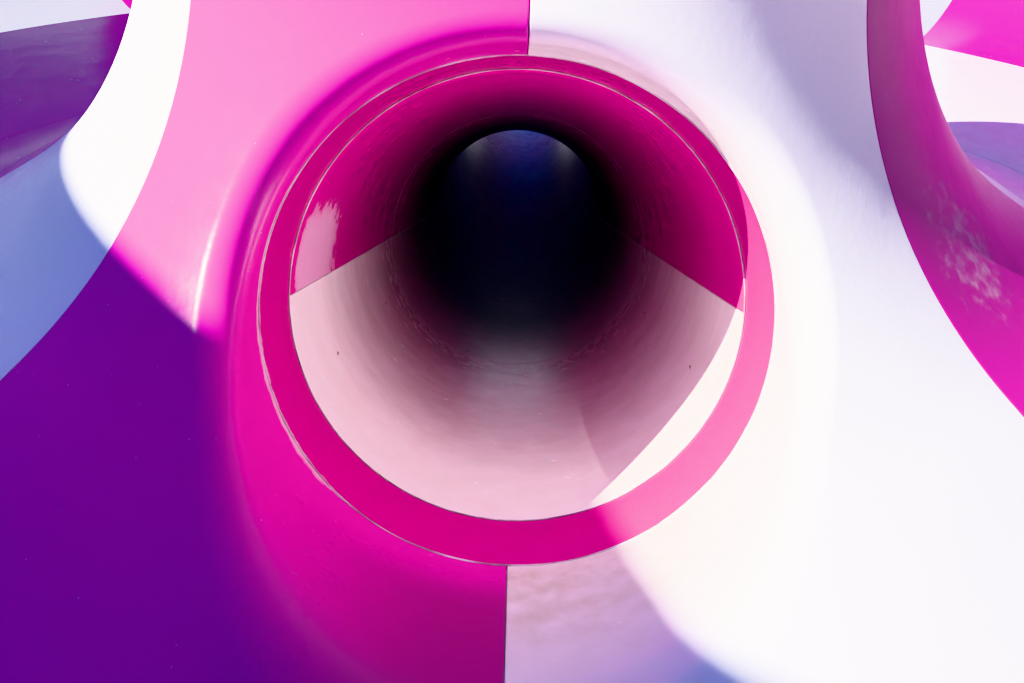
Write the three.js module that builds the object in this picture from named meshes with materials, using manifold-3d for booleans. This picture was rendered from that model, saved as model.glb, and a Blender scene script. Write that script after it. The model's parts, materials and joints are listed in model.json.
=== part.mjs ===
// Raft bowl of a water slide, with the hollow exit cone at its middle and the round exit tube that
// leaves through the flank of the cone. Millimetres, +Z up, origin on the ground in the middle of the
// whole. The mouth of the tube faces -Y. Azimuth is measured round the bowl's axis, from -Y towards +X.
import * as THREE from 'three';
import { mergeVertices } from 'three/addons/utils/BufferGeometryUtils.js';
import Module from 'manifold-3d';

const wasm = await Module();
wasm.setup();

// Driving dimensions
const FLOOR_LEVEL = 3400; // bowl floor above the ground
const SEAT = 0.3; // gap left where two pieces touch

const CONE_FOOT_RADIUS = 3528;
const CONE_FOOT_FILLET = 1637;
const FLANK_ANGLE = THREE.MathUtils.degToRad(30.4);
const FLANK_LENGTH = 789;
const NECK_ARC = 1509;
const NECK_TOP = 2320; // above the bowl floor
const CONE_PANELS = 8;
const CONE_STEPS = 5; // facets across one cone panel

const FLOOR_RADIUS = 5600;
const WALL_ARC = 2000;
const WALL_SWEEP = THREE.MathUtils.degToRad(72);
const WALL_UPSTAND = 200;
const BOWL_PANELS = 10;
const BOWL_STEPS = 4; // facets across one bowl panel

const SHELL = 12; // laminate thickness
const FLANGE = 90; // depth of the bolted flanges behind the laminate
const FLANGE_ROOT = 24; // a flange is a wedge, this wide where it leaves the laminate

const TUBE_RADIUS = 750; // inside
const TUBE_SLOPE = THREE.MathUtils.degToRad(23); // downhill, away from the mouth
const EXIT_SLOPE = THREE.MathUtils.degToRad(3);
const MOUTH_Y = -1302; // first joint of the tube, from the bowl's axis
const MOUTH_Z = 751; // above the bowl floor
const MOUTH_RING_LENGTH = 371;
const TUBE_STEP_IN = 6; // the tube stands this much proud of the mouth ring's bore
const TUBE_FLANGE = 70;
const TUBE_SECTION = 2600;
const BEND_RADIUS = 7000;
const EXIT_RUN = 3700;
const TUBE_SIDES = 16;
const RING_SIDES = 32;

const LIP_RADIUS_BOTTOM = 450; // rounding of the mouth where the flow runs in
const LIP_RADIUS_TOP = 85;

const RING_WIDTH = 240;
const RING_DEPTH = 200;
const COLUMN_CIRCLE = 6450; // the outer columns stand on it, under the ribs of the wall
const COLUMN_RADIUS = 110;
const INNER_COLUMN_RADIUS = 85;
const COLUMN_SIDES = 8;
const BASE_PLATE = 420;
const BASE_PLATE_THICKNESS = 25;
const POST = 150;
const TRESTLE_STATIONS = [2800, 6500, 9300]; // distance of the trestles from the bowl's axis
const CRADLE_STATIONS = [-630, 630];

const MAGENTA = new THREE.MeshStandardMaterial({ name: 'magenta gelcoat', color: 0xd31296, roughness: 0.25 });
const WHITE = new THREE.MeshStandardMaterial({ name: 'white gelcoat', color: 0xf1f4f4, roughness: 0.25 });
const STEEL = new THREE.MeshStandardMaterial({
  name: 'galvanised steel',
  color: 0xa9afb3,
  roughness: 0.55,
  metalness: 0.9,
});

const TURN = 2 * Math.PI;
const degrees = THREE.MathUtils.degToRad;
const mix = THREE.MathUtils.lerp;

// Points and closed shells

function onAzimuth(azimuth, radius, z) {
  return new THREE.Vector3(radius * Math.sin(azimuth), -radius * Math.cos(azimuth), z);
}

function signedVolume(positions, index) {
  const a = new THREE.Vector3();
  const b = new THREE.Vector3();
  const c = new THREE.Vector3();
  let volume = 0;
  for (let i = 0; i < index.length; i += 3) {
    a.fromArray(positions, 3 * index[i]);
    b.fromArray(positions, 3 * index[i + 1]);
    c.fromArray(positions, 3 * index[i + 2]);
    volume += a.dot(b.cross(c)) / 6;
  }
  return volume;
}

// A closed shell between two grids of points, front and back, of the same rows and columns.
function shell(front, back) {
  const rows = front.length;
  const columns = front[0].length;
  const positions = [...front.flat(), ...back.flat()].flatMap((p) => p.toArray());
  const at = (side, i, j) => side * rows * columns + i * columns + j;
  const index = [];
  const quad = (a, b, c, d) => index.push(a, b, c, a, c, d);
  for (let i = 0; i < rows - 1; i++) {
    for (let j = 0; j < columns - 1; j++) {
      quad(at(0, i, j), at(0, i + 1, j), at(0, i + 1, j + 1), at(0, i, j + 1));
      quad(at(1, i, j), at(1, i, j + 1), at(1, i + 1, j + 1), at(1, i + 1, j));
    }
  }
  for (let i = 0; i < rows - 1; i++) {
    quad(at(0, i, 0), at(1, i, 0), at(1, i + 1, 0), at(0, i + 1, 0));
    quad(at(0, i, columns - 1), at(0, i + 1, columns - 1), at(1, i + 1, columns - 1), at(1, i, columns - 1));
  }
  for (let j = 0; j < columns - 1; j++) {
    quad(at(0, 0, j), at(0, 0, j + 1), at(1, 0, j + 1), at(1, 0, j));
    quad(at(0, rows - 1, j), at(1, rows - 1, j), at(1, rows - 1, j + 1), at(0, rows - 1, j + 1));
  }
  if (signedVolume(positions, index) < 0) index.reverse();
  const geometry = new THREE.BufferGeometry();
  geometry.setAttribute('position', new THREE.Float32BufferAttribute(positions, 3));
  geometry.setIndex(index);
  return geometry;
}

// Stations along an edge of a given length, with the root lines of a flange near its flanged ends.
function flangedStations(length, steps, startFlange = true, endFlange = true) {
  const start = startFlange ? [0, FLANGE_ROOT] : [0];
  const end = endFlange ? [length - FLANGE_ROOT, length] : [length];
  const middle = [];
  for (let k = 1; k < steps; k++) middle.push((length * k) / steps);
  return [...start, ...middle, ...end];
}

// Boolean work

function solid(geometry) {
  const plain = geometry.clone();
  plain.deleteAttribute('normal');
  plain.deleteAttribute('uv');
  const merged = mergeVertices(plain, 1e-3);
  return new wasm.Manifold(
    new wasm.Mesh({
      numProp: 3,
      vertProperties: new Float32Array(merged.attributes.position.array),
      triVerts: new Uint32Array(merged.index.array),
    }),
  );
}

function join(geometries) {
  return geometries.map(solid).reduce((a, b) => a.add(b));
}

function toGeometry(manifold) {
  const mesh = manifold.getMesh();
  const geometry = new THREE.BufferGeometry();
  geometry.setAttribute('position', new THREE.Float32BufferAttribute(mesh.vertProperties, 3));
  geometry.setIndex(new THREE.Uint32BufferAttribute(mesh.triVerts, 1));
  return geometry;
}

// A box given by its lowest and highest corners.
function block(low, high) {
  const size = high.map((value, k) => value - low[k]);
  const centre = high.map((value, k) => (value + low[k]) / 2);
  return new THREE.BoxGeometry(...size).translate(...centre);
}

// A flat outline of (radius, height) pairs in the upright plane of an azimuth, given a width.
function prism(outline, azimuth, width) {
  const shape = new THREE.Shape(outline.map(([r, z]) => new THREE.Vector2(r, z)));
  const geometry = new THREE.ExtrudeGeometry(shape, { depth: width, bevelEnabled: false });
  const outward = onAzimuth(azimuth, 1, 0);
  const up = new THREE.Vector3(0, 0, 1);
  const basis = new THREE.Matrix4().makeBasis(outward, up, outward.clone().cross(up));
  return geometry.translate(0, 0, -width / 2).applyMatrix4(basis);
}

// The cone: half a meridian section, from its foot to the top of its neck

const FILLET_ARC = CONE_FOOT_FILLET * FLANK_ANGLE;
const NECK_ARC_LENGTH = NECK_ARC * (Math.PI / 2 - FLANK_ANGLE);
const FLANK_FOOT = {
  r: CONE_FOOT_RADIUS - CONE_FOOT_FILLET * Math.sin(FLANK_ANGLE),
  z: CONE_FOOT_FILLET * (1 - Math.cos(FLANK_ANGLE)),
};
const FLANK_TOP = {
  r: FLANK_FOOT.r - FLANK_LENGTH * Math.cos(FLANK_ANGLE),
  z: FLANK_FOOT.z + FLANK_LENGTH * Math.sin(FLANK_ANGLE),
};
const NECK_RADIUS = FLANK_TOP.r - NECK_ARC * (1 - Math.sin(FLANK_ANGLE));
const NECK_FOOT = FLANK_TOP.z + NECK_ARC * Math.cos(FLANK_ANGLE);

// Slope, radius and height of the cone at a distance along its meridian.
function meridian(s) {
  if (s <= FILLET_ARC) {
    const slope = s / CONE_FOOT_FILLET;
    return {
      slope,
      r: CONE_FOOT_RADIUS - CONE_FOOT_FILLET * Math.sin(slope),
      z: CONE_FOOT_FILLET * (1 - Math.cos(slope)),
    };
  }
  const onFlank = s - FILLET_ARC;
  if (onFlank <= FLANK_LENGTH) {
    return {
      slope: FLANK_ANGLE,
      r: FLANK_FOOT.r - onFlank * Math.cos(FLANK_ANGLE),
      z: FLANK_FOOT.z + onFlank * Math.sin(FLANK_ANGLE),
    };
  }
  const onArc = onFlank - FLANK_LENGTH;
  if (onArc <= NECK_ARC_LENGTH) {
    const slope = FLANK_ANGLE + onArc / NECK_ARC;
    return {
      slope,
      r: FLANK_TOP.r - NECK_ARC * (Math.sin(slope) - Math.sin(FLANK_ANGLE)),
      z: FLANK_TOP.z + NECK_ARC * (Math.cos(FLANK_ANGLE) - Math.cos(slope)),
    };
  }
  return { slope: Math.PI / 2, r: NECK_RADIUS, z: NECK_FOOT + onArc - NECK_ARC_LENGTH };
}

// Radius of the cone's face at a height above the bowl floor.
function coneRadius(z) {
  if (z <= 0) return CONE_FOOT_RADIUS;
  if (z < FLANK_FOOT.z) {
    return CONE_FOOT_RADIUS - CONE_FOOT_FILLET * Math.sin(Math.acos(1 - z / CONE_FOOT_FILLET));
  }
  if (z < FLANK_TOP.z) return FLANK_FOOT.r - (z - FLANK_FOOT.z) / Math.tan(FLANK_ANGLE);
  if (z < NECK_FOOT) {
    const cosine = Math.cos(FLANK_ANGLE) - (z - FLANK_TOP.z) / NECK_ARC;
    return FLANK_TOP.r - NECK_ARC * (Math.sqrt(1 - cosine * cosine) - Math.sin(FLANK_ANGLE));
  }
  return NECK_RADIUS;
}

const MERIDIAN_LENGTH = FILLET_ARC + FLANK_LENGTH + NECK_ARC_LENGTH + NECK_TOP - NECK_FOOT;
const MERIDIAN_BREAKS = [
  [FILLET_ARC, 3],
  [FLANK_LENGTH, 1],
  [NECK_ARC_LENGTH, 5],
  [NECK_TOP - NECK_FOOT, 1],
];

function meridianStations() {
  const stations = [0];
  for (const [length, steps] of MERIDIAN_BREAKS) {
    const start = stations.at(-1);
    for (let k = 1; k <= steps; k++) stations.push(start + (length * k) / steps);
  }
  return stations;
}

// Outward normal of the cone's face, and a point on the face or behind it.
function coneNormal(azimuth, slope) {
  return onAzimuth(azimuth, Math.sin(slope), Math.cos(slope));
}

function conePoint(azimuth, s, depth = 0) {
  const { slope, r, z } = meridian(s);
  return onAzimuth(azimuth, r, z).addScaledVector(coneNormal(azimuth, slope), -depth);
}

const CONE_SECTOR = TURN / CONE_PANELS;
const CONE_SEAM = SEAT / 2 / NECK_RADIUS; // half of a seam, as an angle

function conePanel() {
  const stations = meridianStations();
  const azimuths = [];
  for (let k = 0; k <= CONE_STEPS; k++) {
    azimuths.push(mix(CONE_SEAM, CONE_SECTOR - CONE_SEAM, k / CONE_STEPS));
  }
  const face = (depth) => azimuths.map((azimuth) => stations.map((s) => conePoint(azimuth, s, depth)));
  return shell(face(0), face(SHELL));
}

// The two front panels of the cone, drawn into the round mouth of the tube. Each ray is a plane
// curve through the tube's axis, so it is drawn by its distance from the axis (out) and along it (up).

const MOUTH = new THREE.Vector3(0, MOUTH_Y, MOUTH_Z);
const MOUTH_NORMAL = new THREE.Vector3(0, -Math.cos(TUBE_SLOPE), Math.sin(TUBE_SLOPE));
const MOUTH_UP = new THREE.Vector3(0, Math.sin(TUBE_SLOPE), Math.cos(TUBE_SLOPE));

function rayPoint(theta, out, up) {
  const point = MOUTH.clone().addScaledVector(MOUTH_NORMAL, up);
  point.x += out * Math.cos(theta);
  return point.addScaledVector(MOUTH_UP, out * Math.sin(theta));
}

function rayOf(point) {
  const offset = point.clone().sub(MOUTH);
  const rise = offset.dot(MOUTH_UP);
  return { theta: Math.atan2(rise, offset.x), out: Math.hypot(rise, offset.x), up: offset.dot(MOUTH_NORMAL) };
}

// Where a line parallel to the tube's axis meets the cone's face.
function faceHeight(theta, out) {
  let low = -3500;
  let high = 1800;
  for (let k = 0; k < 50; k++) {
    const middle = (low + high) / 2;
    const point = rayPoint(theta, out, middle);
    const outside = Math.hypot(point.x, point.y) > coneRadius(point.z) || point.z > NECK_TOP + 900;
    if (outside) high = middle;
    else low = middle;
  }
  return (low + high) / 2;
}

const STUB_STEPS = 2;
const LIP_STEPS = 5;
const RUN_STEPS = 5;

// The lip at an angle round the mouth: an arc between the line of the tube and the cone's face.
function lipAt(theta) {
  const rise = THREE.MathUtils.smoothstep(theta, degrees(-90), degrees(-10));
  const radius = mix(LIP_RADIUS_BOTTOM, LIP_RADIUS_TOP, rise);
  let landing = TUBE_RADIUS + radius;
  let turn = 0;
  for (let k = 0; k < 12; k++) {
    const climb = faceHeight(theta, landing + 1) - faceHeight(theta, landing - 1);
    turn = Math.atan2(2, climb);
    landing = TUBE_RADIUS + radius * (1 - Math.cos(turn));
  }
  return { radius, turn, landing, foot: faceHeight(theta, landing) - radius * Math.sin(turn) };
}

// From the first joint up the line of the tube, round the lip and on over the cone's face to its rim.
function mouthRay(edge) {
  const { theta, out: outerReach } = rayOf(edge);
  const { radius, turn, landing, foot } = lipAt(theta);
  const ray = [];
  for (let k = 0; k < STUB_STEPS; k++) ray.push(rayPoint(theta, TUBE_RADIUS, (foot * k) / STUB_STEPS));
  for (let k = 0; k < LIP_STEPS; k++) {
    const angle = (turn * k) / LIP_STEPS;
    ray.push(rayPoint(theta, TUBE_RADIUS + radius * (1 - Math.cos(angle)), foot + radius * Math.sin(angle)));
  }
  for (let k = 0; k < RUN_STEPS; k++) {
    const out = mix(landing, outerReach, k / RUN_STEPS);
    ray.push(rayPoint(theta, out, faceHeight(theta, out)));
  }
  ray.push(edge.clone());
  return ray;
}

const FRONT_SIDE_STEPS = 9;

// The rim of a front panel, from the foot seam round to the neck seam.
function frontEdge() {
  const edge = [];
  const span = CONE_SECTOR - CONE_SEAM;
  for (let k = 0; k < CONE_STEPS; k++) edge.push([mix(0, span, k / CONE_STEPS), 0]);
  for (let k = 0; k < FRONT_SIDE_STEPS; k++) edge.push([span, (MERIDIAN_LENGTH * k) / FRONT_SIDE_STEPS]);
  for (let k = CONE_STEPS; k >= 0; k--) edge.push([mix(0, span, k / CONE_STEPS), MERIDIAN_LENGTH]);
  return edge;
}

function gridNormal(grid, i, j) {
  const across = grid[Math.min(i + 1, grid.length - 1)][j].clone().sub(grid[Math.max(i - 1, 0)][j]);
  const last = grid[i].length - 1;
  const along = grid[i][Math.min(j + 1, last)].clone().sub(grid[i][Math.max(j - 1, 0)]);
  return along.cross(across).normalize();
}

function frontPanel(side) {
  const edge = frontEdge();
  const grid = edge.map(([azimuth, s]) => mouthRay(conePoint(azimuth, s)));
  const last = grid.length - 1;
  const behind = grid.map((ray, i) =>
    ray.map((point, j) => {
      if (j === 0) {
        const { theta } = rayOf(point);
        return rayPoint(theta, TUBE_RADIUS + SHELL, 0);
      }
      if (j === ray.length - 1) return conePoint(edge[i][0], edge[i][1], SHELL);
      const normal = gridNormal(grid, i, j);
      if (i === 0 || i === last) normal.x = 0;
      return point.clone().addScaledVector(normal.normalize(), -SHELL);
    }),
  );
  const place = (p) => new THREE.Vector3(side * (p.x + SEAT / 2), p.y, p.z);
  return shell(
    grid.map((ray) => ray.map(place)),
    behind.map((ray) => ray.map(place)),
  );
}

// The bowl: flat floor and rising wall

const BOWL_SECTOR = TURN / BOWL_PANELS;
const BOWL_SEAM = SEAT / 2 / CONE_FOOT_RADIUS;

// Azimuths across one bowl panel; the two edges carry flanges.
function bowlAzimuths() {
  const width = CONE_FOOT_RADIUS * BOWL_SECTOR;
  return flangedStations(width, BOWL_STEPS).map((station) => ({
    azimuth: mix(BOWL_SEAM, BOWL_SECTOR - BOWL_SEAM, station / width),
    depth: station === 0 || station === width ? FLANGE : SHELL,
  }));
}

function floorPanel() {
  const radii = [CONE_FOOT_RADIUS + SEAT, FLOOR_RADIUS];
  const azimuths = bowlAzimuths();
  const front = azimuths.map(({ azimuth }) => radii.map((r) => onAzimuth(azimuth, r, 0)));
  const back = azimuths.map(({ azimuth, depth }) => radii.map((r) => onAzimuth(azimuth, r, -depth)));
  return shell(front, back);
}

const WALL_LENGTH = WALL_ARC * WALL_SWEEP + WALL_UPSTAND;
const WALL_FOOT = FLOOR_RADIUS + SEAT;
const WALL_STEPS = 5;

function wallPoint(azimuth, s, depth = 0) {
  const slope = Math.min(s / WALL_ARC, WALL_SWEEP);
  const above = s - WALL_ARC * slope;
  const r = WALL_FOOT + (WALL_ARC + depth) * Math.sin(slope) + above * Math.cos(slope);
  const z = WALL_ARC - (WALL_ARC + depth) * Math.cos(slope) + above * Math.sin(slope);
  return onAzimuth(azimuth, r, z);
}

function wallPanel() {
  const stations = flangedStations(WALL_LENGTH, WALL_STEPS, false, true);
  const azimuths = bowlAzimuths();
  const front = azimuths.map(({ azimuth }) => stations.map((s) => wallPoint(azimuth, s)));
  const back = azimuths.map(({ azimuth, depth }) =>
    stations.map((s) => wallPoint(azimuth, s, s === WALL_LENGTH ? FLANGE : depth)),
  );
  return shell(front, back);
}

// The exit tube: distance along its axis from the mouth, straight, bent and straight again

const BEND_START = MOUTH_RING_LENGTH + 2 * TUBE_SECTION;
const BEND_LENGTH = BEND_RADIUS * (TUBE_SLOPE - EXIT_SLOPE);
const TUBE_END = BEND_START + BEND_LENGTH + EXIT_RUN;
const TUBE_RIM = TUBE_RADIUS - TUBE_STEP_IN + TUBE_FLANGE;

function tubeAxis(d) {
  const straight = Math.min(d, BEND_START);
  const bent = Math.min(Math.max(d - BEND_START, 0), BEND_LENGTH);
  const run = Math.max(d - BEND_START - BEND_LENGTH, 0);
  const slope = TUBE_SLOPE - bent / BEND_RADIUS;
  const arcY = BEND_RADIUS * (Math.sin(TUBE_SLOPE) - Math.sin(slope));
  const arcZ = BEND_RADIUS * (Math.cos(slope) - Math.cos(TUBE_SLOPE));
  return {
    slope,
    y: MOUTH_Y + straight * Math.cos(TUBE_SLOPE) + arcY + run * Math.cos(EXIT_SLOPE),
    z: MOUTH_Z - straight * Math.sin(TUBE_SLOPE) - arcZ - run * Math.sin(EXIT_SLOPE),
  };
}

function tubePoint(d, angle, radius) {
  const { slope, y, z } = tubeAxis(d);
  const rise = radius * Math.sin(angle);
  return new THREE.Vector3(radius * Math.cos(angle), y + rise * Math.sin(slope), z + rise * Math.cos(slope));
}

// Upper or lower half of a tube section, with flanges along its seams and at its ends.
function tubeHalf(from, to, steps, upper) {
  const inside = TUBE_RADIUS - TUBE_STEP_IN;
  const start = from + SEAT;
  const length = to - start;
  const girth = Math.PI * inside;
  const stations = flangedStations(length, steps);
  const angles = flangedStations(girth, TUBE_SIDES / 2).map((station) => ({
    angle: (upper ? 0 : Math.PI) + mix(SEAT / 2, girth - SEAT / 2, station / girth) / inside,
    edge: station === 0 || station === girth,
  }));
  const front = angles.map(({ angle }) => stations.map((s) => tubePoint(start + s, angle, inside)));
  const back = angles.map(({ angle, edge }) =>
    stations.map((s) => {
      const flanged = edge || s === 0 || s === length;
      return tubePoint(start + s, angle, inside + (flanged ? TUBE_FLANGE : SHELL));
    }),
  );
  return shell(front, back);
}

// A ring turned about its own axis, then laid along the mouth's normal.
function mouthRing() {
  const far = -MOUTH_RING_LENGTH;
  const outside = TUBE_RADIUS + SHELL;
  const rim = TUBE_RADIUS + TUBE_FLANGE;
  const profile = [
    [TUBE_RADIUS, -SEAT],
    [TUBE_RADIUS, far],
    [rim, far],
    [outside, far + FLANGE_ROOT],
    [outside, -SEAT],
    [TUBE_RADIUS, -SEAT],
  ];
  const points = profile.map(([x, y]) => new THREE.Vector2(x, y));
  return new THREE.LatheGeometry(points, RING_SIDES);
}

// The lid that closes the neck of the cone

const CAP_OVERHANG = 60;
const CAP_RISE = 180;
const CAP_RIM = 1136;
const CAP_STEPS = 3;
const CAP_SIDES = 24;

function neckCap() {
  const low = NECK_TOP + SEAT;
  const dome = (offset) => {
    const points = [];
    for (let k = 0; k <= CAP_STEPS; k++) {
      const angle = (Math.PI / 2) * (k / CAP_STEPS);
      points.push(new THREE.Vector2(CAP_RIM * Math.sin(angle), offset + CAP_RISE * Math.cos(angle)));
    }
    return points;
  };
  const brim = NECK_RADIUS + CAP_OVERHANG;
  const profile = [
    ...dome(low),
    new THREE.Vector2(brim, low),
    new THREE.Vector2(brim, low + SHELL),
    ...dome(low + SHELL).reverse(),
  ];
  return new THREE.LatheGeometry(profile, CAP_SIDES).rotateX(Math.PI / 2);
}

// Steel frames under the bowl

const RING_TOP = -FLANGE - SEAT;
const RING_BOTTOM = RING_TOP - RING_DEPTH;
const RING_FACET = BOWL_SECTOR / BOWL_STEPS;
const FRAME_SPACING = BOWL_SECTOR;
const COLUMN_SUNK = 5; // laps into the plate below

// A stretch of ring beam from azimuth 0, with corners given by radius, top and bottom.
function ringBeam(corners, span) {
  const azimuths = [];
  const seam = SEAT / 2 / CONE_FOOT_RADIUS;
  const steps = Math.round(span / RING_FACET);
  for (let k = 0; k <= steps; k++) azimuths.push(mix(seam, span - seam, k / steps));
  const rows = (pick) => azimuths.map((azimuth) => corners.map((c) => onAzimuth(azimuth, c.r, c[pick])));
  return shell(rows('top'), rows('bottom'));
}

function ringCorners(radius) {
  return [
    { r: radius - RING_WIDTH / 2, top: RING_TOP, bottom: RING_BOTTOM },
    { r: radius + RING_WIDTH / 2, top: RING_TOP, bottom: RING_BOTTOM },
  ];
}

// The inner ring has a kerb that the foot of the cone rests on.
const KERB_INNER = 85;
const KERB_OUTER = 20;
const KERB_SUNK = 10;

function kerbCorners() {
  const top = -SHELL - 2 * SEAT;
  const bottom = RING_BOTTOM + KERB_SUNK;
  return [
    { r: CONE_FOOT_RADIUS - KERB_INNER, top, bottom },
    { r: CONE_FOOT_RADIUS - KERB_OUTER, top, bottom },
  ];
}

function column(azimuth, radius, width, top) {
  const low = COLUMN_SUNK - FLOOR_LEVEL;
  const foot = onAzimuth(azimuth, radius, low);
  const shaft = new THREE.CylinderGeometry(width, width, top - low, COLUMN_SIDES).rotateX(Math.PI / 2);
  shaft.rotateZ(azimuth).translate(foot.x, foot.y, (low + top) / 2);
  const plate = new THREE.BoxGeometry(BASE_PLATE, BASE_PLATE, BASE_PLATE_THICKNESS).rotateZ(azimuth);
  plate.translate(foot.x, foot.y, BASE_PLATE_THICKNESS / 2 - FLOOR_LEVEL);
  return [shaft, plate];
}

const RIB_WIDTH = 80;
const RIB_DEPTH = 150;
const RIB_TOP = 2600; // along the wall from its foot
const RIB_LAP = 60; // into the ring beam
const BEAM_INSET = 20; // the radial beams are this much shallower than the rings, above and below
const COLUMN_HEAD = 90; // top of the outer columns, inside the ribs

// A point behind the flat facets of the wall, by the distance up the wall from its foot.
function behindWall(s, depth) {
  const step = WALL_LENGTH / WALL_STEPS;
  const k = Math.min(Math.floor(s / step), WALL_STEPS - 1);
  const start = k * step;
  const end = Math.min(start + step, WALL_LENGTH - FLANGE_ROOT);
  const point = wallPoint(0, start, depth).lerp(wallPoint(0, end, depth), (s - start) / (end - start));
  return [-point.y, point.z];
}

// A curved rib under the wall, with its foot in the ring beam.
function wallRib(azimuth) {
  const step = WALL_LENGTH / WALL_STEPS;
  const stations = [step, 2 * step, 3 * step, 4 * step, RIB_TOP];
  const outline = [
    [FLOOR_RADIUS + RIB_LAP, RING_TOP - 1.5 * BEAM_INSET],
    ...stations.map((s) => behindWall(s, SHELL + 2 * SEAT)),
    ...stations.toReversed().map((s) => behindWall(s, SHELL + RIB_DEPTH)),
    [FLOOR_RADIUS + RIB_LAP, RING_BOTTOM + 1.5 * BEAM_INSET],
  ];
  return prism(outline, azimuth, RIB_WIDTH);
}

// A beam from the inner ring to the outer one, under the middle of a floor panel.
function radialBeam(azimuth) {
  const start = CONE_FOOT_RADIUS + RING_WIDTH / 2 + SEAT;
  const outline = [
    [start, RING_BOTTOM + BEAM_INSET],
    [FLOOR_RADIUS, RING_BOTTOM + BEAM_INSET],
    [FLOOR_RADIUS, RING_TOP - BEAM_INSET],
    [start, RING_TOP - BEAM_INSET],
  ];
  return prism(outline, azimuth, RIB_WIDTH);
}

// The azimuths of the columns along a stretch of frame, under the middles of the bowl's panels.
function columnAzimuths(span) {
  const azimuths = [];
  for (let azimuth = FRAME_SPACING / 2; azimuth < span; azimuth += FRAME_SPACING) azimuths.push(azimuth);
  return azimuths;
}

function outerFrame(span) {
  const pieces = [ringBeam(ringCorners(FLOOR_RADIUS), span)];
  for (const azimuth of columnAzimuths(span)) {
    pieces.push(...column(azimuth, COLUMN_CIRCLE, COLUMN_RADIUS, COLUMN_HEAD));
    pieces.push(wallRib(azimuth), radialBeam(azimuth));
  }
  return toGeometry(join(pieces));
}

function innerFrame(span) {
  const pieces = [ringBeam(ringCorners(CONE_FOOT_RADIUS), span), ringBeam(kerbCorners(), span)];
  for (const azimuth of columnAzimuths(span)) {
    pieces.push(...column(azimuth, CONE_FOOT_RADIUS, INNER_COLUMN_RADIUS, RING_BOTTOM + COLUMN_SUNK));
  }
  return toGeometry(join(pieces));
}

// Saddles that carry the tube, cut to its round

const SADDLE_THICKNESS = 80;
const SADDLE_HALF = 990;
const SADDLE_LOW = 960;
const SADDLE_HIGH = 330;

function axisAtY(y) {
  let low = 0;
  let high = TUBE_END;
  for (let k = 0; k < 40; k++) {
    const middle = (low + high) / 2;
    if (tubeAxis(middle).y < y) low = middle;
    else high = middle;
  }
  return low;
}

function saddle(y) {
  const d = axisAtY(y);
  const { z, slope } = tubeAxis(d);
  const half = SADDLE_THICKNESS / 2;
  const plate = block([-SADDLE_HALF, y - half, z - SADDLE_LOW], [SADDLE_HALF, y + half, z - SADDLE_HIGH]);
  const radius = TUBE_RADIUS - TUBE_STEP_IN + SHELL + 2 * SEAT;
  const tube = new THREE.CylinderGeometry(radius, radius, 1200, RING_SIDES).rotateX(-slope);
  return solid(plate).subtract(solid(tube.translate(0, y, z)));
}

function post(x, y, top) {
  const half = POST / 2;
  const plate = BASE_PLATE / 2;
  return [
    block([x - half, y - half, -FLOOR_LEVEL], [x + half, y + half, top]),
    block([x - plate, y - plate, -FLOOR_LEVEL], [x + plate, y + plate, -FLOOR_LEVEL + BASE_PLATE_THICKNESS]),
  ];
}

const POST_X = 920;
const HEAD_BEAM = 1900; // underside of the beams that tie the four posts

// Four posts inside the cone: they carry the tube's saddles and the lid of the neck.
function centreFrame() {
  const pieces = [];
  const half = POST / 2;
  for (const y of CRADLE_STATIONS) {
    for (const x of [-POST_X, POST_X]) pieces.push(...post(x, y, NECK_TOP));
  }
  for (const x of [-POST_X, POST_X]) {
    const [front, rear] = CRADLE_STATIONS;
    pieces.push(block([x - half, front, HEAD_BEAM], [x + half, rear, HEAD_BEAM + POST]));
  }
  for (const y of CRADLE_STATIONS) {
    pieces.push(block([-POST_X, y - half, HEAD_BEAM], [POST_X, y + half, HEAD_BEAM + POST]));
  }
  return toGeometry(CRADLE_STATIONS.reduce((frame, y) => frame.add(saddle(y)), join(pieces)));
}

function trestle(y) {
  const { z } = tubeAxis(axisAtY(y));
  const pieces = [-POST_X, POST_X].flatMap((x) => post(x, y, z - SADDLE_HIGH - 100));
  return toGeometry(join(pieces).add(saddle(y)));
}

// The whole

const slide = new THREE.Group();
const bowl = new THREE.Group();
const front = wallPoint(0, WALL_LENGTH, FLANGE).y;
const rear = tubePoint(TUBE_END, Math.PI / 2, TUBE_RIM).y;
bowl.position.set(0, -(front + rear) / 2, FLOOR_LEVEL);
slide.add(bowl);

function add(name, geometry, material, azimuth = 0) {
  const mesh = new THREE.Mesh(geometry, material);
  mesh.name = name;
  mesh.rotation.z = azimuth;
  bowl.add(mesh);
  return mesh;
}

const twoDigits = (number) => String(number).padStart(2, '0');

add('cone_front_right', frontPanel(1), WHITE);
add('cone_front_left', frontPanel(-1), MAGENTA);
const conePanelGeometry = conePanel();
for (let k = 1; k < CONE_PANELS - 1; k++) {
  add(`cone_panel_${twoDigits(k)}`, conePanelGeometry, k % 2 ? MAGENTA : WHITE, k * CONE_SECTOR);
}
add('neck_cap', neckCap(), WHITE);

const floorPanelGeometry = floorPanel();
const wallPanelGeometry = wallPanel();
for (let k = 0; k < BOWL_PANELS; k++) {
  const number = twoDigits(k + 1);
  add(`floor_panel_${number}`, floorPanelGeometry, k % 2 ? WHITE : MAGENTA, k * BOWL_SECTOR);
  add(`wall_panel_${number}`, wallPanelGeometry, k % 2 ? MAGENTA : WHITE, k * BOWL_SECTOR);
}

const ring = add('mouth_ring', mouthRing(), MAGENTA);
ring.position.copy(MOUTH);
ring.rotation.x = Math.PI - TUBE_SLOPE;

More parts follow.
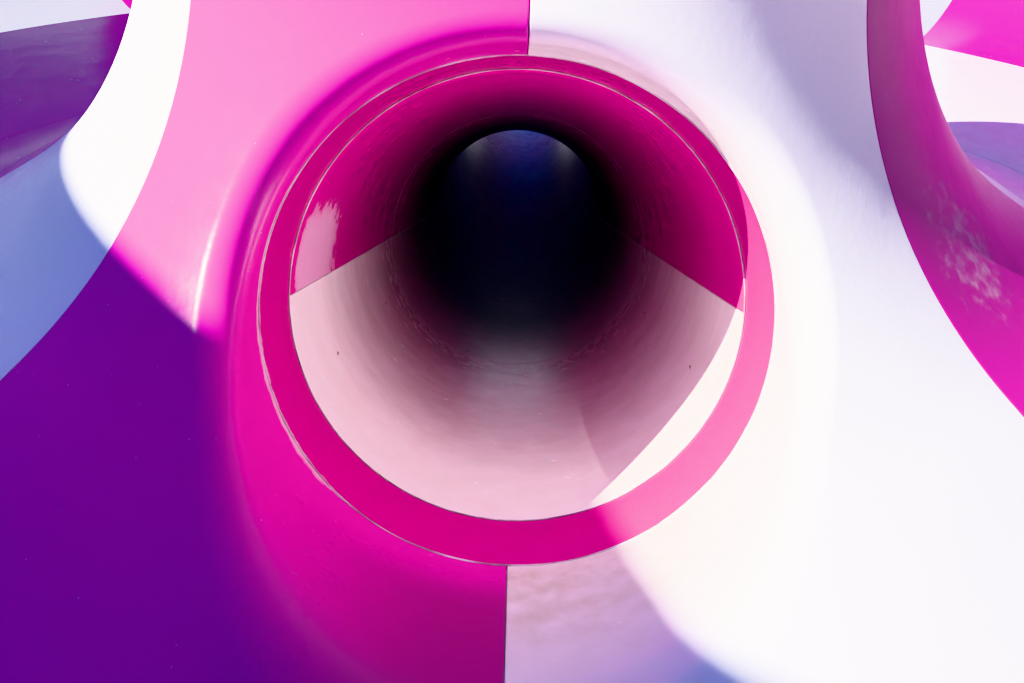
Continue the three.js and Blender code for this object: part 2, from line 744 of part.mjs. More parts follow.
const sections = [
  ['tube_1', MOUTH_RING_LENGTH, MOUTH_RING_LENGTH + TUBE_SECTION, 1],
  ['tube_2', MOUTH_RING_LENGTH + TUBE_SECTION, BEND_START, 1],
  ['tube_bend', BEND_START, BEND_START + BEND_LENGTH, 4],
  ['tube_exit', BEND_START + BEND_LENGTH, TUBE_END, 1],
];
for (const [name, from, to, steps] of sections) {
  add(`${name}_upper`, tubeHalf(from, to, steps, true), MAGENTA);
  add(`${name}_lower`, tubeHalf(from, to, steps, false), WHITE);
}

const OUTER_FRAMES = 5;
const INNER_FRAMES = 2;
const outerFrameGeometry = outerFrame(TURN / OUTER_FRAMES);
for (let k = 0; k < OUTER_FRAMES; k++) {
  add(`outer_frame_${k + 1}`, outerFrameGeometry, STEEL, (k * TURN) / OUTER_FRAMES);
}
const innerFrameGeometry = innerFrame(TURN / INNER_FRAMES);
for (let k = 0; k < INNER_FRAMES; k++) {
  add(`inner_frame_${k + 1}`, innerFrameGeometry, STEEL, (k * TURN) / INNER_FRAMES);
}
add('centre_frame', centreFrame(), STEEL);
TRESTLE_STATIONS.forEach((y, k) => add(`tube_trestle_${k + 1}`, trestle(y), STEEL));

export default slide;
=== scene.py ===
"""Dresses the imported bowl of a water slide: laminate skins, joints, bolts, steelwork, light and camera.

The bowl is seen from inside it, close in front of the exit cone. Lengths are in metres, +Z is up and the mouth of the
exit tube faces -Y. Points are worked out in the bowl's own frame, with its origin where the bowl's axis meets its
floor, and every finished mesh is moved to the part's frame. Azimuth is measured from -Y towards +X.
"""

import json
import logging
import math
from collections.abc import Sequence
from dataclasses import dataclass, field
from enum import Enum

import bpy
import numpy as np
from bpy.types import Material, Node, NodeSocket, NodeTree, Object, World
from mathutils import Matrix, Vector

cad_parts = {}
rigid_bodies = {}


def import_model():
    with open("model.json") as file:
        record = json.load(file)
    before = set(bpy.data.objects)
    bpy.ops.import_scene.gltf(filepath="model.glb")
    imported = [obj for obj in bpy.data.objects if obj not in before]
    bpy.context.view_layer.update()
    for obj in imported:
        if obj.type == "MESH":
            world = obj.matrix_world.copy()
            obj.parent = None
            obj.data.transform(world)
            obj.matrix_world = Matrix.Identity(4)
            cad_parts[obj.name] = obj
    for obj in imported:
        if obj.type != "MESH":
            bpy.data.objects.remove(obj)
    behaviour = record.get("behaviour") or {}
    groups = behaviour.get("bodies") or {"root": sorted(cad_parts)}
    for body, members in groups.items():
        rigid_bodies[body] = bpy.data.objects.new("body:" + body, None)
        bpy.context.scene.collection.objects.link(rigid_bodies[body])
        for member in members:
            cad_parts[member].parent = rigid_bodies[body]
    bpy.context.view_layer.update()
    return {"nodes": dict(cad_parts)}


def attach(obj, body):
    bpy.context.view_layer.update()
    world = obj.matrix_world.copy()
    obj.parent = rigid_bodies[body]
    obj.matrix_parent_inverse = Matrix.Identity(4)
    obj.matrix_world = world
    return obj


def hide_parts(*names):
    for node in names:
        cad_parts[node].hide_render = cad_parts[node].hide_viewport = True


LOG = logging.getLogger("slide_bowl")
Array = np.ndarray
TURN = 2 * math.pi
BOWL_ORIGIN = (0.0, -1.1413, 3.4)  # in the part's frame
GROUND = -BOWL_ORIGIN[2]
SHARP_ANGLE = math.radians(32)
UP = np.array([0.0, 0.0, 1.0])
FIT = 0.0003  # gap between pieces that meet
SHELL = 0.012  # thickness of the laminate
EDGE_RADIUS = 0.004  # rounding of its edges
EDGE_STATIONS = (0.0, 0.0006, 0.0016, 0.003, 0.005, 0.010)  # distances from an edge that draw the rounding


class Slot(Enum):
    """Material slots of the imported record."""

    MAGENTA = "magenta_gelcoat"
    WHITE = "white_gelcoat"
    STEEL = "galvanised_steel"


# Small mathematics


def on_azimuth(azimuth: Array | float, radius: Array | float, z: Array | float) -> Array:
    """Returns points at an azimuth, radius and height above the bowl floor."""
    azimuth, radius, z = np.broadcast_arrays(azimuth, radius, z)
    return np.stack([radius * np.sin(azimuth), -radius * np.cos(azimuth), z], -1)


def radial(azimuth: Array | float) -> Array:
    """Level direction away from the bowl's axis at an azimuth."""
    return on_azimuth(azimuth, 1.0, 0.0)


def tangent(azimuth: Array | float) -> Array:
    """Level direction in which azimuth rises, at an azimuth."""
    return on_azimuth(azimuth + math.pi / 2, 1.0, 0.0)


def unit(vectors: Array) -> Array:
    """Scales vectors to length one."""
    return vectors / np.maximum(np.linalg.norm(vectors, axis=-1, keepdims=True), 1e-12)


def smooth_step(value: Array | float, low: float, high: float) -> Array:
    """Rises from 0 at low to 1 at high, level at both ends."""
    t = np.clip((np.asarray(value, float) - low) / (high - low), 0, 1)
    return t * t * (3 - 2 * t)


def lerp(a: Array | float, b: Array | float, t: Array | float) -> Array | float:
    """Linear mix of a and b."""
    return a + (b - a) * t


def edge_drop(distance: Array, radius: float = EDGE_RADIUS) -> Array:
    """Depth to which a rounded panel edge falls away, by the distance from the edge and the rounding's radius."""
    inside = np.clip(radius - distance, 0, radius)
    return radius - np.sqrt(np.maximum(radius * radius - inside * inside, 0))


def eased_stations(length: float, steps: int) -> Array:
    """Stations along a length, close together near both ends so that the rounded edges show.

    Args:
        length: the whole length.
        steps: even steps between the ends.

    Returns:
        The stations, rising from 0.
    """
    near = np.array(EDGE_STATIONS)
    middle = np.linspace(0, length, steps + 1)[1:-1]
    middle = middle[(middle > near[-1] * 1.5) & (middle < length - near[-1] * 1.5)]
    return np.concatenate([near, middle, length - near[::-1]])


# Mesh work


class MeshBuilder:
    """Collects closed forms and makes one mesh of them."""

    def __init__(self) -> None:
        """Starts empty."""
        self.points: list[Array] = []
        self.faces: list[Array] = []
        self.count = 0
        self.attributes: dict[str, list[Array]] = {}

    def add(self, points: Array, faces: Sequence[Array], **attributes: Array) -> None:
        """Adds one closed form and turns it so that its faces point outwards.

        Args:
            points: vertices, n by 3.
            faces: arrays of triangles and quads that index the vertices.
            attributes: a value per vertex for named float attributes of the mesh.
        """
        volume = 0.0
        for block in faces:
            for k in range(1, block.shape[1] - 1):
                a, b, c = points[block[:, 0]], points[block[:, k]], points[block[:, k + 1]]
                volume += np.einsum("ij,ij->i", a - points[0], np.cross(b - points[0], c - points[0])).sum()
        for block in faces:
            self.faces.append((block if volume > 0 else block[:, ::-1]) + self.count)
        self.points.append(points)
        self.count += len(points)
        for name in set(self.attributes) | set(attributes):
            before = self.count - len(points)
            held = self.attributes.setdefault(name, [np.zeros(before)] if before else [])
            held.append(np.asarray(attributes.get(name, np.zeros(len(points))), float).ravel())

    def shell(self, front: Array, back: Array, **attributes: Array) -> None:
        """Adds a closed shell between two grids of points.

        Args:
            front: points of the face, rows by columns by 3.
            back: the points behind them, as many.
            attributes: values on the face for named float attributes, which are 0 on the back.
        """
        rows, columns = front.shape[:2]
        grid = np.arange(rows * columns).reshape(rows, columns)
        other = grid + rows * columns

        def quads(a: Array, b: Array) -> Array:
            """Quads between two neighbouring rows of indices."""
            return np.stack([a[:-1], a[1:], b[1:], b[:-1]], -1).reshape(-1, 4)

        faces = [
            np.concatenate([quads(grid[i], grid[i + 1]) for i in range(rows - 1)]),
            np.concatenate([quads(other[i + 1], other[i]) for i in range(rows - 1)]),
            quads(other[0], grid[0]),
            quads(grid[-1], other[-1]),
            quads(grid[:, 0], other[:, 0]),
            quads(other[:, -1], grid[:, -1]),
        ]
        both = {name: np.concatenate([values.ravel(), 0 * values.ravel()]) for name, values in attributes.items()}
        self.add(np.concatenate([front.reshape(-1, 3), back.reshape(-1, 3)]), faces, **both)

    def sweep(self, path: Array, across: Array, up: Array, section: Array, closed: bool = False) -> None:
        """Adds a section carried along a path.

        Args:
            path: points of the path, n by 3.
            across: first direction of the section at each point, or one for all.
            up: second direction of the section at each point, or one for all.
            section: corners of the section, k by 2, along across and up.
            closed: True where the path comes back to its start.
        """
        across, up = np.broadcast_to(across, path.shape), np.broadcast_to(up, path.shape)
        rings = path[:, None] + section[None, :, :1] * across[:, None] + section[None, :, 1:] * up[:, None]
        self.stack(rings, closed, fan_triangles(section))

    def stack(self, rings: Array, closed: bool = False, ends: Array | None = None, **attributes: Array) -> None:
        """Adds the skin over a row of closed outlines.

        Args:
            rings: the outlines, rows by corners by 3.
            closed: True where the last outline joins the first.
            ends: corner numbers of the faces that fill an end of an open row; one flat face if left out.
            attributes: a value per corner for named float attributes of the mesh.
        """
        rows, corners = rings.shape[:2]
        grid = np.arange(rows * corners).reshape(rows, corners)
        grid = np.concatenate([grid, grid[:, :1]], 1)
        if closed:
            grid = np.concatenate([grid, grid[:1]], 0)
        faces = [np.stack([grid[:-1, :-1], grid[1:, :-1], grid[1:, 1:], grid[:-1, 1:]], -1).reshape(-1, 4)]
        if not closed:
            ends = np.arange(corners)[None] if ends is None else ends
            faces += [ends[:, ::-1], ends + (rows - 1) * corners]
        self.add(rings.reshape(-1, 3), faces, **attributes)

    def box(self, low: Sequence[float], high: Sequence[float], turn: float = 0.0) -> None:
        """Adds a box.

        Args:
            low: lowest corner.
            high: highest corner.
            turn: azimuth by which it is turned about the bowl's axis.
        """
        x0, y0, z0 = low
        x1, y1, z1 = high
        path = spin(np.array([[x0, (y0 + y1) / 2, z0], [x1, (y0 + y1) / 2, z0]]), turn)
        across = spin(np.array([[0.0, 1.0, 0.0]]), turn)
        half = (y1 - y0) / 2
        section = np.array([[-half, 0], [half, 0], [half, z1 - z0], [-half, z1 - z0]])
        self.sweep(path, across, UP, section)

    def tube(self, start: Array, end: Array, radius: float, sides: int = 24) -> None:
        """Adds a round bar.

        Args:
            start: middle of its first end.
            end: middle of its other end.
            radius: its radius.
            sides: number of its facets.
        """
        along = unit(end - start)
        across = unit(np.cross(along, [0.0, 0.0, 1.0] if abs(along[2]) < 0.9 else [1.0, 0.0, 0.0]))
        angles = np.linspace(0, TURN, sides, endpoint=False)
        section = radius * np.stack([np.cos(angles), np.sin(angles)], -1)
        self.sweep(np.stack([start, end]), across, np.cross(along, across), section)

    def build(self, name: str, material: Material) -> Object:
        """Makes the object, smooth with sharp edges, and links it to the scene.

        Args:
            name: name of the piece.
            material: its finish.

        Returns:
            The object, with its place in its mesh.
        """
        mesh = bpy.data.meshes.new(name)
        points = (np.concatenate(self.points) + BOWL_ORIGIN).astype(np.float32)
        corners = np.concatenate([block.ravel() for block in self.faces]).astype(np.int32)
        sizes = np.concatenate([np.full(len(block), block.shape[1]) for block in self.faces]).astype(np.int32)
        mesh.vertices.add(len(points))
        mesh.vertices.foreach_set("co", points.ravel())
        mesh.loops.add(len(corners))
        mesh.loops.foreach_set("vertex_index", corners)
        mesh.polygons.add(len(sizes))
        mesh.polygons.foreach_set("loop_start", np.concatenate([[0], np.cumsum(sizes)[:-1]]).astype(np.int32))
        mesh.update(calc_edges=True)
        mesh.polygons.foreach_set("use_smooth", np.ones(len(sizes), bool))
        mesh.set_sharp_from_angle(angle=SHARP_ANGLE)
        for attribute, blocks in self.attributes.items():
            held = mesh.attributes.new(attribute, "FLOAT", "POINT")
            held.data.foreach_set("value", np.concatenate(blocks).astype(np.float32))
        mesh.materials.append(material)
        made = bpy.data.objects.new(name, mesh)
        bpy.context.scene.collection.objects.link(made)
        return made


def fan_triangles(section: Array) -> Array:
    """Triangles that fill a simple flat outline, by clipping ears.

    Args:
        section: corners of the outline in order, k by 2.

    Returns:
        Corner numbers, three to a row.
    """
    left = list(range(len(section)))
    ahead = np.roll(section, -1, axis=0)
    area = np.sum(section[:, 0] * ahead[:, 1] - ahead[:, 0] * section[:, 1])
    turn = 1.0 if area > 0 else -1.0
    triangles = []

    def side(a: int, b: int, c: int) -> float:
        """Twice the signed area of a triangle of corners."""
        (ax, ay), (bx, by), (cx, cy) = section[a], section[b], section[c]
        return turn * ((bx - ax) * (cy - ay) - (by - ay) * (cx - ax))

    while len(left) > 3:
        for k in range(len(left)):
            a, b, c = left[k - 1], left[k], left[(k + 1) % len(left)]
            if side(a, b, c) <= 0:
                continue
            rest = (p for p in left if p not in (a, b, c))
            if not any(side(a, b, p) >= 0 and side(b, c, p) >= 0 and side(c, a, p) >= 0 for p in rest):
                triangles.append((a, b, c))
                left.pop(k)
                break
        else:
            break
    triangles.append(tuple(left[:3]))
    return np.array(triangles)


def spin(points: Array, azimuth: float) -> Array:
    """Turns points about the bowl's axis, from +X at azimuth 0 in the direction of rising azimuth."""
    c, s = math.cos(azimuth), math.sin(azimuth)
    return points @ np.array([[c, s, 0], [-s, c, 0], [0, 0, 1]])


# Finishes


def linear(code: str) -> tuple[float, float, float, float]:
    """Turns an sRGB hex colour into linear RGBA."""
    parts = [int(code[i : i + 2], 16) / 255 for i in (1, 3, 5)]
    return (*(c / 12.92 if c <= 0.04045 else ((c + 0.055) / 1.055) ** 2.4 for c in parts), 1.0)


MATH = "ShaderNodeMath"


def add_node(tree: NodeTree, kind: str, inputs: dict | None = None, **settings: object) -> Node:
    """Adds a node, sets its properties and its inputs, and makes its links.

    Args:
        tree: the node tree.
        kind: Blender's name of the node type.
        inputs: input name or number to a value, to an output socket or to a node, whose first output is taken.
        settings: the node's own properties.

    Returns:
        The node.
    """
    made = tree.nodes.new(kind)
    for key, value in settings.items():
        setattr(made, key, value)
    for key, value in (inputs or {}).items():
        if isinstance(value, Node):
            value = next(socket for socket in value.outputs if socket.enabled)
        if isinstance(value, NodeSocket):
            tree.links.new(value, made.inputs[key])
        else:
            made.inputs[key].default_value = value
    return made


def per_metre(millimetres: float) -> float:
    """Scale of a pattern whose features repeat at a size in millimetres."""
    return 1000 / millimetres


def blank_material(name: str) -> tuple[Material, NodeTree, NodeSocket]:
    """Starts a material.

    Args:
        name: name of the real material.

    Returns:
        The material, its emptied node tree and, in it, the piece's own coordinates in metres.
    """
    made = bpy.data.materials.new(name)
    made.use_nodes = True
    tree = made.node_tree
    tree.nodes.clear()
    return made, tree, add_node(tree, "ShaderNodeTexCoord").outputs["Object"]


@dataclass(frozen=True)
class Gelcoat:
    """Gelcoat on hand-laid glass-fibre laminate: a glossy pigmented skin with the faint waves of its mould."""

    name: str
    colour: str
    worn: str
    stain: str
    roughness: float = 0.24
    # dark colour of painted shade, mixed in where the mesh asks for it
    grime: str = "#2A2028"
    dimple_mm: float = 26.0  # print of the fibres, finer on a real panel and drawn coarser to show
    wave_mm: float = 240.0  # waves of the mould
    dimple_height: float = 0.0004
    wave_height: float = 0.0035
    streak_mm: float = 14.0  # width of dried streaks, which run downwards
    streak_stretch: float = 0.06
    cloud_mm: float = 900.0  # stretches with more and fewer streaks
    run_mm: float = 110.0  # width of the stains that run down
    patch_mm: float = 45.0  # frayed edge of a rubbed place
    gloss_mm: float = 60.0
    speck_mm: float = 34.0  # spacing of dried drops, most of them left out

    def material(self) -> Material:
        """Builds the material: pigment, wear, stain and painted shade from the mesh's attributes, streaks, specks and
        gloss.

        Returns:
            The material.
        """
        made, tree, place = blank_material(self.name)
        wear, stain, grime = (
            add_node(tree, "ShaderNodeAttribute", attribute_name=name).outputs["Fac"]
            for name in ("wear", "stain", "grime")
        )
        streaked = add_node(tree, "ShaderNodeMapping", {"Vector": place, "Scale": (1.0, 1.0, self.streak_stretch)})
        streak_noise, cloud_noise, run_noise, patch_noise, gloss, fine, wave = (
            add_node(tree, "ShaderNodeTexNoise",
                     {"Vector": vector, "Scale": per_metre(size), "Detail": detail, "Roughness": 0.55})
            for vector, size, detail in (
                (streaked, self.streak_mm, 2.0),
                (place, self.cloud_mm, 1.0),
                (streaked, self.run_mm, 3.0),
                (place, self.patch_mm, 4.0),
                (place, self.gloss_mm, 1.0),
                (place, self.dimple_mm, 1.0),
                (place, self.wave_mm, 0.0),
            )
        )
        spaced = {"Vector": place, "Scale": per_metre(self.speck_mm), "Randomness": 1.0}
        cells = add_node(tree, "ShaderNodeTexVoronoi", spaced)
        pick = add_node(tree, "ShaderNodeSeparateColor", {0: cells.outputs["Color"]})
        frayed = add_node(tree, MATH, {0: patch_noise, 1: 0.75}, operation="MULTIPLY")
        rubbed = add_node(tree, MATH, {0: wear, 1: 1.1, 2: frayed}, operation="MULTIPLY_ADD")
        streaks, clouds, runs, patchy, any_wear, near, picked = (
            add_node(tree, "ShaderNodeMapRange", {0: value, 1: low, 2: high, 4: top}, interpolation_type="SMOOTHSTEP")
            for value, low, high, top in (
                (streak_noise, 0.56, 0.80, 0.22),
                (cloud_noise, 0.35, 0.70, 1.0),
                (run_noise, 0.15, 0.85, 0.75),
                (rubbed, 0.62, 0.98, 1.0),
                (wear, 0.02, 0.20, 1.0),
                (cells, 0.075, 0.03, 0.75),
                (pick, 0.80, 0.84, 1.0),
            )
        )
        specks, worn, streaky, stained, painted_shade_mix = (
            add_node(tree, MATH, {0: a, 1: b}, operation="MULTIPLY")
            for a, b in ((near, picked), (patchy, any_wear), (streaks, clouds), (stain, runs), (grime, 0.9))
        )
        pale = add_node(tree, MATH, {0: worn, 1: specks}, operation="ADD")
        colour = linear(self.colour)
        # Last, painted shade: a dark colour mixed in where a mesh attribute darkens the gelcoat to stand in for
        # shade.
        for amount, tint in ((streaky, self.stain), (stained, self.stain), (pale, self.worn), (painted_shade_mix, self.grime)):
            colour = add_node(tree, "ShaderNodeMix", {0: amount, 6: colour, 7: linear(tint)}, data_type="RGBA")
        dull = add_node(tree, MATH, {0: worn, 1: grime}, operation="ADD")
        matt = add_node(tree, MATH, {0: dull, 1: 0.25, 2: self.roughness - 0.06}, operation="MULTIPLY_ADD")
        rough = add_node(tree, MATH, {0: gloss, 1: 0.12, 2: matt}, operation="MULTIPLY_ADD")
        waves = add_node(tree, MATH, {0: wave, 1: self.wave_height}, operation="MULTIPLY")
        height = add_node(tree, MATH, {0: fine, 1: self.dimple_height, 2: waves}, operation="MULTIPLY_ADD")
        bump = add_node(tree, "ShaderNodeBump", {"Height": height, "Distance": 1.0, "Strength": 1.0})
        look = {"Base Color": colour, "Roughness": rough, "Normal": bump, "IOR": 1.5}
        shader = add_node(tree, "ShaderNodeBsdfPrincipled", look)
        add_node(tree, "ShaderNodeOutputMaterial", {"Surface": shader})
        return made


@dataclass(frozen=True)
class Zinc:
    """Zinc on steel: dull grey metal with the spangle of its crystals and rubbed brighter spots."""

    name: str
    dark: str
    light: str
    roughness: float
    spangle_mm: float
    cloud_mm: float = 400.0
    cloud_height: float = 0.0006

    def material(self) -> Material:
        """Builds the material: crystals of two greys, broad cloudiness and a slight grain.

        Returns:
            The material.
        """
        made, tree, place = blank_material(self.name)
        cells = {"Vector": place, "Scale": per_metre(self.spangle_mm), "Randomness": 1.0}
        crystals = add_node(tree, "ShaderNodeTexVoronoi", cells)
        grey = add_node(tree, "ShaderNodeSeparateColor", {0: crystals.outputs["Color"]})
        broad = {"Vector": place, "Scale": per_metre(self.cloud_mm), "Detail": 5.0}
        clouds = add_node(tree, "ShaderNodeTexNoise", broad)
        blend = add_node(tree, MATH, {0: grey, 1: clouds}, operation="MULTIPLY")
        greys = {0: blend, 6: linear(self.dark), 7: linear(self.light)}
        colour = add_node(tree, "ShaderNodeMix", greys, data_type="RGBA")
        rough = add_node(tree, "ShaderNodeMapRange", {0: grey, 3: self.roughness - 0.08, 4: self.roughness + 0.1})
        bump = add_node(tree, "ShaderNodeBump", {"Height": clouds, "Distance": self.cloud_height})
        look = {"Base Color": colour, "Roughness": rough, "Metallic": 0.85, "Normal": bump}
        shader = add_node(tree, "ShaderNodeBsdfPrincipled", look)
        add_node(tree, "ShaderNodeOutputMaterial", {"Surface": shader})
        return made


@dataclass(frozen=True)
class Silicone:
    """Joint sealant: soft translucent silicone, tooled flush, a little dirty."""

    name: str
    colour: str
    dirt: str
    patch_mm: float = 120.0

    def material(self) -> Material:
        """Builds the material: pale rubber with dirt in patches of a hand's length.

        Returns:
            The material.
        """
        made, tree, place = blank_material(self.name)
        dirty = {"Vector": place, "Scale": per_metre(self.patch_mm), "Detail": 6.0}
        patches = add_node(tree, "ShaderNodeTexNoise", dirty)
        amount = add_node(tree, "ShaderNodeMapRange", {0: patches, 1: 0.35, 2: 0.7})
        tints = {0: amount, 6: linear(self.colour), 7: linear(self.dirt)}
        colour = add_node(tree, "ShaderNodeMix", tints, data_type="RGBA")
        look = {"Base Color": colour, "Roughness": 0.45, "IOR": 1.41, "Subsurface Weight": 0.2}
        shader = add_node(tree, "ShaderNodeBsdfPrincipled", look)
        add_node(tree, "ShaderNodeOutputMaterial", {"Surface": shader})
        return made


class Finishes:
    """The materials of the slide, made once."""

    def __init__(self) -> None:
        """Builds every material."""
        # Polyester gelcoat, pigmented and polished in its mould: full colour under a clear gloss.
        self.magenta = Gelcoat("magenta_gelcoat_glossy", "#DD10AC", "#F3B9DC", "#B04A90").material()
        self.white = Gelcoat("white_gelcoat_glossy", "#F6F8F8", "#FBFBFA", "#AFA780").material()
        # The same gelcoat where it is always wet: glossier, and in a deeper colour that also paints the shade inside
        # the mouth ring and the tube's upper halves.
        self.wet_shaded_magenta = Gelcoat("magenta_gelcoat_wet", "#C8008C", "#CFA3C2", "#8E2A6A", 0.18).material()
        # Steel dipped in molten zinc: dull grey in patches the size of a thumb.
        self.steel = Zinc("galvanised_steel_spangled", "#7E868B", "#C2C8CB", 0.48, 18.0).material()
        # Electroplated zinc: brighter, finer and smoother.
        self.bolts = Zinc("zinc_plated_bolts", "#8E9498", "#D5DADC", 0.34, 6.0).material()
        # Silicone rubber: milky and soft, with dirt that sticks to it.
        self.sealant = Silicone("joint_silicone", "#E4E2E4", "#7A6A74").material()

    def gelcoat(self, slot: Slot) -> Material:
        """The gelcoat of a colour."""
        return self.magenta if slot is Slot.MAGENTA else self.white


def dress(piece: Object, slot: Slot, *nodes: str) -> None:
    """Seats a finished piece on the object's one body.

    Args:
        piece: the finished object.
        slot: the material slot that its finish belongs to; not used.
        nodes: the CAD nodes that it stands for.
    """
    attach(piece, "root")
    if nodes:
        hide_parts(*nodes)
    LOG.info("%s: %d faces, for %s", piece.name, len(piece.data.polygons), ", ".join(nodes) or "detail")


# Forms that several sub-assemblies share


@dataclass(frozen=True)
class ConeProfile:
    """Half a meridian of the exit cone, from its foot on the floor to the top of its neck."""

    foot_radius: float = 3.528
    foot_fillet: float = 1.637
    flank_angle: float = math.radians(30.4)
    flank_length: float = 0.789
    neck_arc: float = 1.509
    neck_top: float = 2.320

    @property
    def fillet_end(self) -> tuple[float, float]:
        """Radius and height where the foot's fillet meets the flank."""
        sin, cos = math.sin(self.flank_angle), math.cos(self.flank_angle)
        return self.foot_radius - self.foot_fillet * sin, self.foot_fillet * (1 - cos)

    @property
    def flank_end(self) -> tuple[float, float]:
        """Radius and height where the flank meets the neck's arc."""
        (r, z), run, angle = self.fillet_end, self.flank_length, self.flank_angle
        return r - run * math.cos(angle), z + run * math.sin(angle)

    @property
    def neck_radius(self) -> float:
        """Radius of the upright neck."""
        return self.flank_end[0] - self.neck_arc * (1 - math.sin(self.flank_angle))

    @property
    def neck_foot(self) -> float:
        """Height where the neck becomes upright."""
        return self.flank_end[1] + self.neck_arc * math.cos(self.flank_angle)

    @property
    def length(self) -> float:
        """Length of the meridian."""
        arcs = self.foot_fillet * self.flank_angle + self.neck_arc * (math.pi / 2 - self.flank_angle)
        return arcs + self.flank_length + self.neck_top - self.neck_foot

    def at(self, s: Array) -> tuple[Array, Array, Array]:
        """Places on the meridian.

        Args:
            s: distances from the foot.

        Returns:
            Slope, radius and height at each.
        """
        s = np.asarray(s, float)
        fillet = self.foot_fillet * self.flank_angle
        neck = self.neck_arc * (math.pi / 2 - self.flank_angle)
        on_flank = np.clip(s - fillet, 0, self.flank_length)
        on_neck = np.clip(s - fillet - self.flank_length, 0, neck)
        above = np.clip(s - fillet - self.flank_length - neck, 0, None)
        foot = np.clip(s, 0, fillet) / self.foot_fillet
        slope = np.where(on_neck > 0, self.flank_angle + on_neck / self.neck_arc, foot)
        turned = np.maximum(slope, self.flank_angle)
        r = self.foot_radius - self.foot_fillet * np.sin(foot) - on_flank * math.cos(self.flank_angle)
        z = self.foot_fillet * (1 - np.cos(foot)) + on_flank * math.sin(self.flank_angle) + above
        r = r - self.neck_arc * (np.sin(turned) - math.sin(self.flank_angle))
        z = z + self.neck_arc * (math.cos(self.flank_angle) - np.cos(turned))
        return slope, r, z

    def radius_at(self, z: Array) -> Array:
        """Radius of the cone's face.

        Args:
            z: heights above the bowl floor.

        Returns:
            The radius at each height.
        """
        (r1, z1), (r2, z2) = self.fillet_end, self.flank_end
        in_fillet = np.clip(1 - z / self.foot_fillet, -1, 1)
        fillet = self.foot_radius - self.foot_fillet * np.sin(np.arccos(in_fillet))
        flank = r1 - (z - z1) / math.tan(self.flank_angle)
        cosine = np.clip(math.cos(self.flank_angle) - (z - z2) / self.neck_arc, 0, 1)
        neck = r2 - self.neck_arc * (np.sqrt(1 - cosine**2) - math.sin(self.flank_angle))
        conditions = [z <= 0, z < z1, z < z2, z < self.neck_foot]
        return np.select(conditions, [self.foot_radius, fillet, flank, neck], self.neck_radius)

    def points(self, azimuth: Array, s: Array) -> tuple[Array, Array]:
        """Places on the face.

        Args:
            azimuth: their azimuths.
            s: their distances along the meridian.

        Returns:
            The points and the outward normals.
        """
        slope, r, z = self.at(s)
        normal = on_azimuth(azimuth, np.sin(slope), np.cos(slope))
        return on_azimuth(azimuth, r, z), normal


@dataclass(frozen=True)
class TubeRoute:
    """Axis of the exit tube, by the distance from its mouth: straight, bent, straight again."""

    mouth_y: float = -1.302
    mouth_z: float = 0.751
    slope: float = math.radians(23)
    exit_slope: float = math.radians(3)
    ring_length: float = 0.371
    section: float = 2.600
    bend_radius: float = 7.0
    exit_run: float = 3.700

    @property
    def bend_start(self) -> float:
        """Distance at which the bend starts."""
        return self.ring_length + 2 * self.section

    @property
    def bend_length(self) -> float:
        """Length of the bend along the axis."""
        return self.bend_radius * (self.slope - self.exit_slope)

    @property
    def end(self) -> float:
        """Distance of the tube's far end."""
        return self.bend_start + self.bend_length + self.exit_run

    def axis(self, d: Array) -> tuple[Array, Array]:
        """Places on the axis.

        Args:
            d: distances from the mouth.

        Returns:
            The downward slope and the point at each.
        """
        d = np.asarray(d, float)
        straight = np.minimum(d, self.bend_start)
        bent = np.clip(d - self.bend_start, 0, self.bend_length)
        run = np.clip(d - self.bend_start - self.bend_length, 0, None)
        slope = self.slope - bent / self.bend_radius
        y = self.mouth_y + straight * math.cos(self.slope) + run * math.cos(self.exit_slope)
        z = self.mouth_z - straight * math.sin(self.slope) - run * math.sin(self.exit_slope)
        y = y + self.bend_radius * (math.sin(self.slope) - np.sin(slope))
        z = z - self.bend_radius * (np.cos(slope) - math.cos(self.slope))
        return slope, np.stack([np.zeros_like(y), y, z], -1)

    def around(self, d: Array, angle: Array, radius: Array) -> Array:
        """Places round the axis.

        Args:
            d: distances from the mouth.
            angle: angles from +X towards the top.
            radius: distances from the axis.

        Returns:
            The points.
        """
        d, angle, radius = np.broadcast_arrays(d, angle, radius)
        slope, centre = self.axis(d)
        rise = radius * np.sin(angle)
        return centre + np.stack([radius * np.cos(angle), rise * np.sin(slope), rise * np.cos(slope)], -1)

    def distance_at(self, y: float) -> float:
        """Distance from the mouth at which the axis passes a Y."""
        d = np.linspace(0, self.end, 4000)
        return float(np.interp(y, self.axis(d)[1][:, 1], d))


CONE = ConeProfile()
ROUTE = TubeRoute()


def flange(builder: MeshBuilder, edge: Array, inward: Array, away: Array, size: tuple[float, float]) -> None:
    """Adds a flange along a panel's edge.

    Args:
        builder: takes the flange.
        edge: points along the edge of the face.
        inward: direction behind the face at each point.
        away: direction from the edge into the panel at each point.
        size: its depth behind the face and its thickness.
    """
    depth, thickness = size
    section = np.array([[EDGE_RADIUS, 0], [depth, 0], [depth, thickness], [EDGE_RADIUS, thickness]])
    builder.sweep(edge, inward, away, section)


def across_panel(radius: Array, span: float, seam: float, steps: int) -> Array:
    """Azimuths across a panel, close together by its seams.

    Args:
        radius: radius of each row of stations.
        span: angle that the panel covers.
        seam: half the gap at a seam.
        steps: even steps across.

    Returns:
        The azimuths from the panel's start, stations across by radii.
    """
    near = np.array(EDGE_STATIONS)[:, None] / radius[None]
    gap = seam / radius[None]
    inner = np.linspace(0, 1, steps + 1)[1:-1, None]
    return np.concatenate([gap + near, inner * span + 0 * radius[None], span - gap - near[::-1]])


def panel_drop(azimuth: Array, radius: Array, s: Array) -> Array:
    """Depth to which the face of a panel falls away at its four edges.

    Args:
        azimuth: azimuths of the stations, across by along.
        radius: radius of each row of stations.
        s: distance of each row from the panel's first end.

    Returns:
        The depth at each station.
    """
    across = radius[None] * np.minimum(azimuth - azimuth[0], azimuth[-1] - azimuth)
    along = np.broadcast_to(np.minimum(s, s[-1] - s), azimuth.shape)
    return edge_drop(across) + edge_drop(along)


